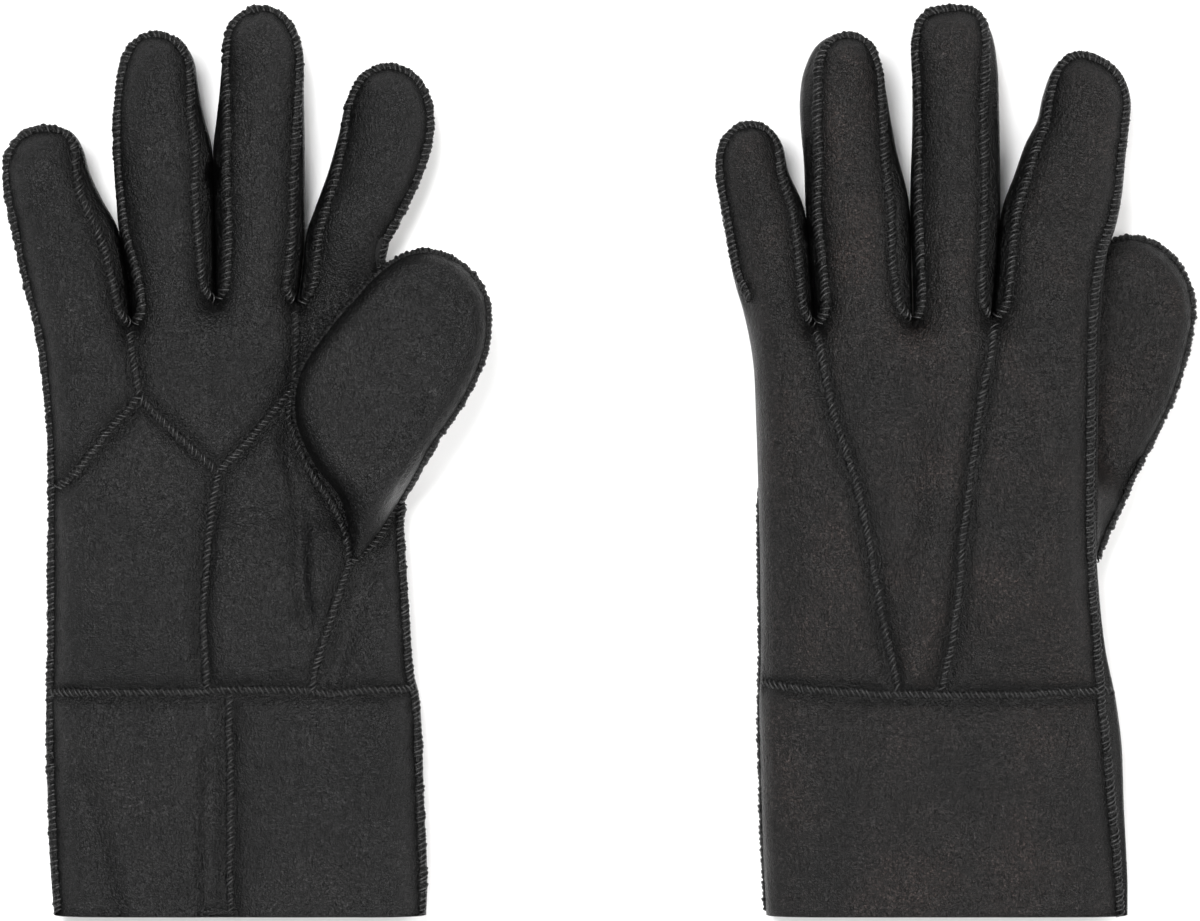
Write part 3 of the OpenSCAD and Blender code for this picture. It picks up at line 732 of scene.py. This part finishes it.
LEATHER = {
    "right": leather("leather_right", (0.0034, 0.0035, 0.0036), (0.0054, 0.0054, 0.0056),
                     (0.0074, 0.0072, 0.0072), 0.9),
    "left": leather("leather_left", (0.0039, 0.0037, 0.0037), (0.0066, 0.0057, 0.0055),
                    (0.0115, 0.0088, 0.008), 0.9),
}
# Painted shade: the fourchettes between the fingers get this leather, painted near black and darker than the
# gloves' own, for the shade that falls there; the hem's cut edge uses it too.
PAINTED_SHADE_LEATHER = leather("gusset_leather", (0.0012, 0.0012, 0.0013), 0.002, 0.003, 0.6)
WELT = leather("welt_leather", 0.002, 0.004, (0.007, 0.0068, 0.0068), 0.9)
THREAD = fibre("black_thread", 0.004, 0.019, 1.4, 0.42, 0.0001, 0.4)
WOOL = fibre("black_wool", 0.003, (0.014, 0.014, 0.0145), 1.3, 0.92, 0.0016, 1.0)


def finished(obj, mat, body, nodes=(), bend=None):
    """The object with its material, parented to the body it rides, or with its placement baked into its mesh
    when a bend is given; its CAD nodes are hidden.
    """
    obj.data.materials.append(mat)
    if bend:
        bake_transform(obj)
    else:
        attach(obj, body)
    if nodes:
        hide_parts(*nodes)
    return obj


def world_point(g, p, z):
    return ((p[0] + g["x"]) * MM, (p[1] + g["y"]) * MM, z * MM)


# -------- one glove
DEEPEST = (3.4, 2.3)  # of a groove or fold in the hand and in a finger, so that none reaches the lining
BEND_LENGTH = 14  # along a finger, from where it starts to bend to where it moves as a whole
THUMB = 10  # stands for the thumb where -1 is the hand and 0 to 3 are the fingers


def build_body(g):
    """The hand, cuff and fingers as one closed surface, with what the seams and panels need later."""
    edges = edges_of(g)
    outline = np.vstack(edges)
    hem_free = list(edges)  # the edges carried on past the hem, so that the hem isn't rounded off
    hem_free[0] = np.vstack([edges[0][0] - (0, 40), edges[0]])
    hem_free[3] = np.vstack([edges[3], edges[3][-1] - (0, 40)])
    palm, back = palm_seams(g), back_seams(g)
    name = g["name"]
    finger_lines = {is_palm: [finger_seams(i, e, insets[name][i]) for i, e in enumerate(edges)]
                    for is_palm, insets in ((True, PALM_INSETS), (False, BACK_INSETS))}
    hem = np.stack([np.linspace(edges[3][-1][0], edges[0][0][0], 130)[1:-1], np.zeros(128)], 1)
    closed = np.vstack([outline, hem])
    finger_polygons = []
    k = knuckles(g)
    for i, e in enumerate(edges):
        if i == 0:
            e = e[np.argmin(np.linalg.norm(e - k[0], axis=1)):]
        if i == 3:
            e = e[:np.argmin(np.linalg.norm(e - k[4], axis=1)) + 1]
        finger_polygons.append(e)
    sheets, owners = {}, {}
    root_line = thumb_root_outline(g)
    for upper in (True, False):
        v, f, rim = triangulate(closed, TOP_GRID if upper else HIDDEN_GRID)
        is_palm = upper == g["palm_up"]
        middle = v[f].mean(1)
        owner = np.full(len(f), -1)
        for i, poly in enumerate(finger_polygons):
            owner[inside(middle, poly)] = i
        finger = np.full(len(v), -1)
        for c in range(3):
            np.maximum.at(finger, f[:, c], owner)
        floor, height = body_heights(g, v, finger)
        d = distance(v, hem_free)
        share = swell(d, rim_radius(v))
        half = height / 2 * share
        half = mix(half, relaxed(half, f, 0.6, 14), smooth((d - 2.5) / 5))
        lines = list((palm if is_palm else back).values())
        lines += [run for runs in finger_lines[is_palm] for run in runs]
        lines.append(curve(g["cuff_seam"] if upper else g["hidden_cuff_seam"]))
        # Distance from the nearest seam: it shapes the grooves below and sets the painted seam shade in the
        # leather's colour.
        seam = distance(v, lines)
        away = smooth(d / 4)
        relief = relief_of(v, *((PALM_CREASES, PALM_FOLDS) if is_palm else (BACK_CREASES, BACK_FOLDS)))
        relief += unevenness(v, 2 * g["seed"] + upper)
        if is_palm:  # a dent that keeps the hand's leather under the thumb's root
            edge = distance(v, [np.vstack([root_line, root_line[:1]])])
            relief -= np.where(inside(v, root_line), np.minimum(5, edge * 1.3), 0)
        drop = (1.5 * np.exp(-((seam / 2.7) ** 2)) + 1.3 * np.exp(-((seam / 7) ** 2))) * smooth(d / 1.5)
        drop -= relief * away * (1 if upper else 0.5)
        most = np.where(finger < 0, *DEEPEST)
        half -= np.where(drop > 0, most * np.tanh(drop / most), drop)
        half = np.where(d > 0.3, np.maximum(half, 0.5), half)
        z = floor + height / 2 + half * (1 if upper else -1)
        if not upper and g["palm_up"]:
            z = np.maximum(z, 0.05)
        sheets[upper] = (np.c_[v, z], f, rim, seam)
        owners[upper] = owner
    top, bottom = sheets[True], sheets[False]
    n_rim = len(outline)
    bottom_rim, top_rim = bottom[2][:n_rim], top[2][:n_rim]
    shell = Shell((top[0], top[1], top_rim, top[3]), (bottom[0], bottom[1], bottom_rim, bottom[3]))
    shell.owner = np.concatenate([owners[True], owners[False]])
    g.update(edges=edges, palm=palm, back=back, finger_lines=finger_lines, shell=shell,
             finger_polygons=finger_polygons, hem_free=hem_free)


def thumb_root_outline(g):
    """The part of the thumb's outline that lies on the palm."""
    t = curve(g["thumb"])
    u = (t - THUMB_MID) @ THUMB_ALONG
    return t[u < 4]


def surface_z(g, p, upper, finger):
    """The height of the hand's or a finger's surface, without its relief."""
    floor, height = body_heights(g, p, finger)
    share = swell(distance(p, g["hem_free"]), rim_radius(p))
    return floor + height / 2 + (1 if upper else -1) * height / 2 * share


def hand_panels(g):
    """Which hand panel each face of the body belongs to."""
    shell = g["shell"]
    c = shell.centres()[:, :2]
    is_palm = shell.upper == g["palm_up"]
    hand = shell.owner < 0
    p, b = g["palm"], g["back"]
    far = 300
    seam_y = np.where(shell.upper, np.interp(c[:, 0], *np.array(g["cuff_seam"]).T),
                      np.interp(c[:, 0], *np.array(g["hidden_cuff_seam"]).T))
    cuff = hand & (c[:, 1] < seam_y)
    up = lambda q: [q[0] + (0, 60), *q]
    index_back = inside(c, [*up(b["right"]), (-1.9, -far), (far, -far), (far, far)])
    centre = inside(c, [*up(p["crotch_one"]), *p["centre_left"], *p["centre_right"],
                        *up(p["crotch_three"])[::-1]])
    index_palm = inside(c, [*up(p["crotch_three"]), *p["thumb_inner"], *p["heel_right"],
                            (23, -far), (far, -far), (far, far)])
    outer_heel = inside(c, [*p["outer"][::-1], p["outer"][0], *p["centre_left"],
                            *p["heel_left"], (-9.6, -far), (-far, -far), (-far, 132)])
    little = np.where(is_palm, inside(c, [*up(p["crotch_one"]), *p["outer"], (-far, 132), (-far, far)]),
                      inside(c, [*up(b["left"]), (-16, -far), (-far, -far), (-far, far)]))
    out, rest = {}, hand & ~cuff
    for panel, chosen in (("little_side", little), ("back_index", ~is_palm & index_back),
                          ("back_centre", ~is_palm), ("palm_centre", centre), ("palm_index", index_palm),
                          ("heel_outer", outer_heel)):
        out[panel] = rest & chosen
        rest = rest & ~chosen
    out["heel_centre"] = rest
    out["cuff_back"] = cuff & ~is_palm
    out["cuff_palm_outer"] = cuff & is_palm & (c[:, 0] < -2.5)
    out["cuff_palm_inner"] = cuff & is_palm & (c[:, 0] >= -2.5)
    return out


def bend_of(g, part):
    """The two bodies and the two places between which the pieces of a finger or the thumb bend."""
    if part == THUMB:
        name, middle, along, first, last, z = "thumb", THUMB_MID, THUMB_ALONG, 2.5, 18, 20
    else:
        k = knuckles(g)
        middle, along, _ = finger_axis(g, part)
        first = max((k[part] - middle) @ along, (k[part + 1] - middle) @ along) + 2.5
        name, last, z = FINGERS[part], first + BEND_LENGTH, 12
    glove = g["name"]
    return (f"{glove}_hand", f"{glove}_{name}", world_point(g, middle + along * first, z),
            world_point(g, middle + along * last, z))


def panel(g, part, shell, chosen, bend=None, mat=None, slot="leather", node=None):
    """A part's leather, cut out of a shell, in the place of its CAD node."""
    name = g["name"]
    finished(cut_out(g, f"{name}_{part}_leather", shell, chosen), mat or LEATHER[name], f"{name}_hand",
             [f"{name}_{node or part}"], bend)


def build_pieces(g):
    shell = g["shell"]
    for part, chosen in hand_panels(g).items():
        panel(g, part, shell, chosen)
    c = shell.centres()[:, :2]
    is_palm = shell.upper == g["palm_up"]
    for i, finger in enumerate(FINGERS):
        mine = shell.owner == i
        mid, along, reach = finger_axis(g, i)
        side = (c - mid) @ np.array([along[1], -along[0]])
        gusset = np.zeros(len(c), bool)
        for palm in (True, False):
            sheet = mine & (is_palm == palm)
            gusset[sheet] = past_seam(c[sheet], np.vstack(g["finger_lines"][palm][i]), g["edges"][i])
        if i == 0:
            gusset &= side > 0
        elif i == 3:
            gusset &= side < 0
        gusset &= (c - mid) @ along < reach - 2
        bend = bend_of(g, i)
        both = "fourchettes" if i in (1, 2) else "fourchette"
        panel(g, f"{finger}_{both}", shell, gusset, bend, PAINTED_SHADE_LEATHER, "gusset_leather")
        if i == 0:
            panel(g, finger, shell, mine & ~gusset, bend, node="little_wrap")
        else:
            for side, chosen in (("palm", is_palm), ("back", ~is_palm)):
                panel(g, f"{finger}_{side}", shell, mine & ~gusset & chosen, bend)


def past_seam(points, line, edge):
    """Whether each point lies between the seam line and the edge."""
    nearest = ((points[:, None, :] - line[None]) ** 2).sum(2).argmin(1)
    return distance(points, [edge]) < distance(line, [edge])[nearest] - 0.1


def build_thumb(g):
    """The thumb as one closed surface, part of whose root is sunk in the hand, and its three pieces."""
    outline = curve(np.vstack([g["thumb"], g["thumb"][:1]]))[:-1][::-1]
    sheets = {}
    low, high = g["thumb_z"]
    out_side, in_side = (high, low) if g["palm_up"] else (low, high)
    closed = [np.vstack([outline, outline[:1]])]
    for upper in (True, False):
        v, f, rim = triangulate(outline, TOP_GRID if upper or not g["palm_up"] else HIDDEN_GRID)
        u = (v - THUMB_MID) @ THUMB_ALONG
        d = distance(v, closed)
        share = swell(d, 8.3)
        share = mix(share, relaxed(share, f, 0.6, 10), smooth((d - 2) / 4))
        hand_top = surface_z(g, v, g["palm_up"], np.full(len(v), -1))
        base = mix(hand_top, (low + high) / 2, smooth((u + 4) / 26))
        if upper == g["palm_up"]:  # the outer side rises from the palm
            sheet = mix(hand_top, out_side, smooth((u + 31) / 33))
        else:  # the inner side starts buried in the hand
            sheet = mix(hand_top - (3 if g["palm_up"] else -3), in_side, smooth((u + 2) / 14))
        # Distance from the thumb's edge seam: it shapes the groove below and sets the painted seam shade in
        # the leather's colour.
        seam = d + 0.6
        relief = thumb_relief(g, v, upper) * smooth(d / 4)
        z = base + (sheet - base) * share + relief * (1 if upper else -1)
        groove = 0.9 * np.exp(-((seam / 2.2) ** 2)) * smooth(d / 1.5)
        z += groove * (-1 if upper else 1)
        if not g["palm_up"]:
            z = np.maximum(z, 0.05)
        sheets[upper] = (np.c_[v, z], f, rim, seam)
    shell = Shell(sheets[True], sheets[False])
    g["thumb_shell"], g["thumb_line"] = shell, outline
    root = (shell.centres()[:, :2] - THUMB_MID) @ THUMB_ALONG < 0
    panel(g, "thumb_root", shell, root)
    front = shell.upper == g["palm_up"]
    for side, chosen in (("front", front), ("back", ~front)):
        panel(g, f"thumb_{side}", shell, ~root & chosen, bend_of(g, THUMB))


def thumb_relief(g, p, upper):
    z = unevenness(p, 5 * g["seed"] + upper) * 0.8
    if g["palm_up"]:
        z += creases(p, (49, 160), (11, 20), 38, 2.6, 0.4) + creases(p, (62, 176), (12, 8), -28, 3, 0.35)
        z += fold(p, [(36, 132), (45, 144), (56, 158)], 3, 0.5)
        z -= fold(p, [(30, 150), (40, 164), (50, 180)], 7, 0.7)
    else:
        z += creases(p, (60, 178), (26, 9), 84, 2.7, 0.6) + creases(p, (55, 152), (18, 8), 58, 2.6, 0.45)
    return z


def split_seam(g, gathered, line, upper, size, i=None):
    """Welt and stitches of one plan line on the body's shell, on the hand or also on finger i."""
    finger = np.full(len(line), -1)
    if i is not None:
        finger[inside(line, widened(g["finger_polygons"][i], knuckles(g), i))] = i
    z = surface_z(g, line, upper, finger)
    place, normal = g["shell"].on_surface(np.c_[line, z])
    share_out(gathered, place, normal, finger, size)


def share_out(gathered, place, normal, owner, size):
    """Welt and stitches of a line, each length of it given to the part of the glove that owns it."""
    (wv, wf), (sv, sf) = seam_meshes(place, normal, *size)
    reach = np.concatenate([[0], np.cumsum(np.linalg.norm(np.diff(place, axis=0), axis=1))])
    rows = len(wv) // AROUND
    row_owner = owner[np.clip(np.searchsorted(reach, np.arange(rows) * STEP), 0, len(owner) - 1)]
    wf = np.array(wf)
    face_row = np.repeat(np.arange(rows - 1), AROUND - 1)
    per_v, per_f = STITCH_ROWS * 4, (STITCH_ROWS - 1) * 4
    stitches = len(sv) // per_v
    stitch_row = np.clip(((np.arange(stitches) + 0.5) * 4).astype(int), 0, rows - 1)
    for who in np.unique(row_owner):
        pick = wf[row_owner[face_row] == who]
        if len(pick):
            used, faces = compact(pick, len(wv))
            gathered[int(who)]["welts"].add(wv[used], faces.tolist())
        mine = np.flatnonzero(row_owner[stitch_row] == who)
        if stitches and len(mine):
            v = sv.reshape(stitches, per_v, 3)[mine].reshape(-1, 3)
            f = np.array(sf[:per_f])[None] + (np.arange(len(mine)) * per_v)[:, None, None]
            gathered[int(who)]["stitches"].add(v, f.reshape(-1, 4).tolist())


def build_seams(g):
    name = g["name"]
    gathered = {k: {"welts": Gathered(), "stitches": Gathered()} for k in (-1, 0, 1, 2, 3, THUMB)}
    for palm in (True, False):
        upper = palm == g["palm_up"]
        for line in (g["palm"] if palm else g["back"]).values():
            split_seam(g, gathered, line, upper, RIDGE)
        for i in range(4):
            for line in g["finger_lines"][palm][i]:
                split_seam(g, gathered, line, upper, EDGE_WELT, i)
    split_seam(g, gathered, curve(g["cuff_seam"]), True, RIDGE)
    split_seam(g, gathered, curve(g["hidden_cuff_seam"]), False, RIDGE)
    ring = g["thumb_line"]
    u = (ring - THUMB_MID) @ THUMB_ALONG
    start = int(np.argmin(u))
    ring, u = np.roll(ring, -start, axis=0), np.roll(u, -start)
    outer = (ring - THUMB_MID) @ THUMB_ACROSS > 0
    keep = (u > -1) | (outer & (u > (-1 if g["palm_up"] else -19)))
    ring, u = ring[keep], u[keep]
    free = smooth((u + 4) / 26)
    z = mix(surface_z(g, ring, g["palm_up"], np.full(len(ring), -1)), sum(g["thumb_z"]) / 2, free)
    place, normal = g["thumb_shell"].on_surface(np.c_[ring, z])
    share_out(gathered, place, normal, np.full(len(ring), THUMB), EDGE_WELT)
    for who, parts in gathered.items():
        label = "hand" if who < 0 else ("thumb" if who == THUMB else FINGERS[who])
        bend = bend_of(g, who) if who >= 0 else None
        for kind, mat in (("welts", WELT), ("stitches", THREAD)):
            part = parts[kind]
            if part.v:
                verts = np.vstack(part.v)
                obj = make_object(g, f"{name}_{label}_{kind}", verts, part.f, None,
                                  np.full(len(verts), CLEAR_OF_SEAMS))
                finished(obj, mat, f"{name}_hand", (), bend)


def widened(polygon, k, i):
    """A finger's polygon grown past its edge, so that it holds the finger's own seams."""
    return np.vstack([polygon - right_of(tangents(polygon)) * 1.5, [k[i + 1]], [k[i]]])


def section_loop(g, y, inset):
    """The loop round the glove at one distance from the hem, drawn in by the inset."""
    left, right = g["edges"][0], g["edges"][3]
    low_left = left[: int(left[:, 1].argmax())]
    low_right = right[int(right[:, 1].argmax()):][::-1]
    xl = np.interp(y, low_left[:, 1], low_left[:, 0])
    xr = np.interp(y, low_right[:, 1], low_right[:, 0])
    turn = np.linspace(0, math.pi, 60, endpoint=False)
    there = xl + (xr - xl) * (1 - np.cos(turn)) / 2
    halves = []
    for x, upper in ((there, True), ((xr + xl) - there, False)):
        p = np.c_[x, np.full(len(x), float(y))]
        halves.append(np.c_[x, surface_z(g, p, upper, np.full(len(x), -1))])
    loop = np.vstack(halves)
    for _ in range(2):
        loop = (np.roll(loop, 1, axis=0) + 2 * loop + np.roll(loop, -1, axis=0)) / 4
    inner = loop + right_of(unit(np.roll(loop, -1, axis=0) - np.roll(loop, 1, axis=0))) * inset
    return np.c_[inner[:, 0], np.full(len(inner), float(y)), inner[:, 1]]


def tube(rings, capped=True):
    """The surface through rings of points, with the last ring closed when capped."""
    n = len(rings[0])
    v = np.vstack(rings)
    f = [(i * n + k, i * n + (k + 1) % n, (i + 1) * n + (k + 1) % n, (i + 1) * n + k)
         for i in range(len(rings) - 1) for k in range(n)]
    if capped:
        last = (len(rings) - 1) * n
        f.append(tuple(range(last, last + n)))
    return v, f


def wool_finger(g, part, stations, side, bend):
    """A closed tube of wool. Each station: its middle in plan, half width, middle height, half height."""
    name, count = g["name"], 24
    turn = np.linspace(0, 2 * math.pi, count, endpoint=False)
    v, f = tube([np.c_[middle + side * (np.cos(turn) * half)[:, None], z + np.sin(turn) * tall]
                 for middle, half, z, tall in stations])
    f.append(tuple(range(count - 1, -1, -1)))
    wool = finished(make_object(g, f"{name}_{part}_wool", v, f), WOOL, None,
                    [f"{name}_{part}_lining"], bend)


def build_lining(g):
    """The wool in the hand, fingers and thumb, and the cut edge of the hem."""
    name = g["name"]
    # Y and inset of each ring: over the hem's edge, then along the inside to the fingers
    rows = [(1.5, 1.3), (0.4, 1.5), (-0.1, 2.2), (-0.1, 3.0), (0.5, 3.9), (1.6, 4.3)]
    rows += [(y, 4.3) for y in np.arange(4, 170, 4.0)]
    rings = []
    for k, (y, inset) in enumerate(rows):
        ring = section_loop(g, max(y, 0.05), inset)
        ring[:, 1] = y
        fuzz = 0.35 * lumps(np.arange(len(ring)) * 0.9 + 31 * k, np.full(len(ring), k * 1.7))
        out = ring - ring.mean(0)
        out[:, 1] = 0
        rings.append(ring + unit(out) * (fuzz * (0.4 if k < 2 else 1))[:, None])
    v, f = tube(rings)
    lining = finished(make_object(g, f"{name}_hand_wool", v, f), WOOL, f"{name}_hand",
                      [f"{name}_hand_lining"])
    edge_rows = [section_loop(g, 0.05, 0.0), section_loop(g, 0.05, 0.4), section_loop(g, 0.05, 1.2),
                 section_loop(g, 2.0, 1.35)]
    edge_rows[0][:, 1] = 0.15
    edge_rows[1][:, 1] = -0.05
    edge_rows[2][:, 1] = -0.05
    v, f = tube(edge_rows, capped=False)
    # A seam distance of 3 mm puts painted seam shade on the hem's cut edge.
    hem = make_object(g, f"{name}_hem_edge", v, f, None, np.full(len(v), 3.0))
    finished(hem, PAINTED_SHADE_LEATHER, f"{name}_hand")
    for i, finger in enumerate(FINGERS):
        mid, along, reach = finger_axis(g, i)
        k = knuckles(g)
        root_half = np.linalg.norm(k[i + 1] - k[i]) / 2 - 3.6
        stations = []
        for u in np.linspace(6, reach + 8.5, 14):
            half = np.interp(u, [0, 0.5 * reach, reach, reach + 8.6], [root_half, 9.6, 9.3, 3.5])
            p = mid + along * u
            floor, height = body_heights(g, p[None], np.array([i]))
            tall = max(height[0] / 2 - 2.6, 2) * np.interp(u, [reach, reach + 8.6], [1, 0.45])
            stations.append((p, half, floor[0] + height[0] / 2, tall))
        wool_finger(g, finger, stations, np.array([along[1], -along[0]]), bend_of(g, i))
    low, high = g["thumb_z"]
    stations = []
    for u in np.linspace(6, 66, 12):
        half = np.interp(u, [0, 24, 58, 66], [11, 16.5, 12.6, 6.5])
        tall = ((high - low) / 2 - 2.4) * np.interp(u, [58, 66], [1, 0.5])
        stations.append((THUMB_MID + THUMB_ALONG * u, half, (low + high) / 2, tall))
    wool_finger(g, "thumb", stations, THUMB_ACROSS, bend_of(g, THUMB))


for seed, g in enumerate((RIGHT, LEFT), 1):
    name = g["name"]
    g["seed"] = seed * 37
    g["x"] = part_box(f"{name}_cuff_palm_outer")[1].x / MM + 2.5
    g["y"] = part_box(f"{name}_cuff_back")[0].y / MM
    boxes = [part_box(f"{name}_thumb_front"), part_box(f"{name}_thumb_back")]
    g["thumb_z"] = (min(b[0].z for b in boxes) / MM + 0.3, max(b[1].z for b in boxes) / MM - 0.3)
    g["lift"] = g["thumb_z"][1] + 5.5
    build_body(g)
    build_pieces(g)
    build_thumb(g)
    build_seams(g)
    build_lining(g)

# -------- floor, light and camera
scene = bpy.context.scene
low, high = (Vector(c) for c in CAD_BOX)
centre = (low + high) / 2
m, tree, shader, node = material("studio_paper")
noise = node("TexNoise", Scale=3.0, Detail=2.0)
tree.links.new(ramp(node, noise.outputs["Fac"], [(0.3, 0.90), (0.7, 0.92)]), shader.inputs["Base Color"])
shader.inputs["Roughness"].default_value = 0.9
bpy.ops.mesh.primitive_plane_add(size=60, location=(centre.x, centre.y, -0.0004))
floor = bpy.context.object
floor.name = "studio_floor"
floor.data.materials.append(m)

world = bpy.data.worlds.new("studio")
scene.world = world
world.use_nodes = True
world.node_tree.nodes["Background"].inputs["Color"].default_value = (0.97, 0.985, 1.0, 1)
world.node_tree.nodes["Background"].inputs["Strength"].default_value = 0.26


def softbox(name, place, size, power, colour=(1, 1, 1)):
    data = bpy.data.lights.new(name, "AREA")
    data.shape = "RECTANGLE"
    data.size, data.size_y = size
    data.energy = power
    data.color = colour
    obj = bpy.data.objects.new(name, data)
    scene.collection.objects.link(obj)
    obj.location = Vector(place) + centre
    obj.rotation_euler = (centre - obj.location).to_track_quat("-Z", "Y").to_euler()


softbox("key", (-0.4, 0.55, 1.75), (0.75, 0.6), 42)
softbox("fill", (1.1, 0.2, 1.6), (1.2, 1.2), 30, (1.0, 0.985, 0.97))
softbox("low_fill", (0.1, -1.5, 1.0), (1.6, 0.7), 20)

camera = bpy.data.cameras.new("camera")
camera_obj = bpy.data.objects.new("camera", camera)
scene.collection.objects.link(camera_obj)
FRAME_WIDTH = 0.372  # what the photograph takes in, at the height of the gloves
DISTANCE = 1.9  # from the camera down to the gloves' mean height
SENSOR = 36
camera.sensor_width = SENSOR
camera.lens = SENSOR * DISTANCE / FRAME_WIDTH
camera.clip_end = 20
GLOVE_HEIGHT = 0.014
camera_obj.location = (centre.x - 0.0005, centre.y - 0.0004, DISTANCE + GLOVE_HEIGHT)
scene.camera = camera_obj
scene.view_settings.view_transform = "Standard"
scene.view_settings.look = "None"
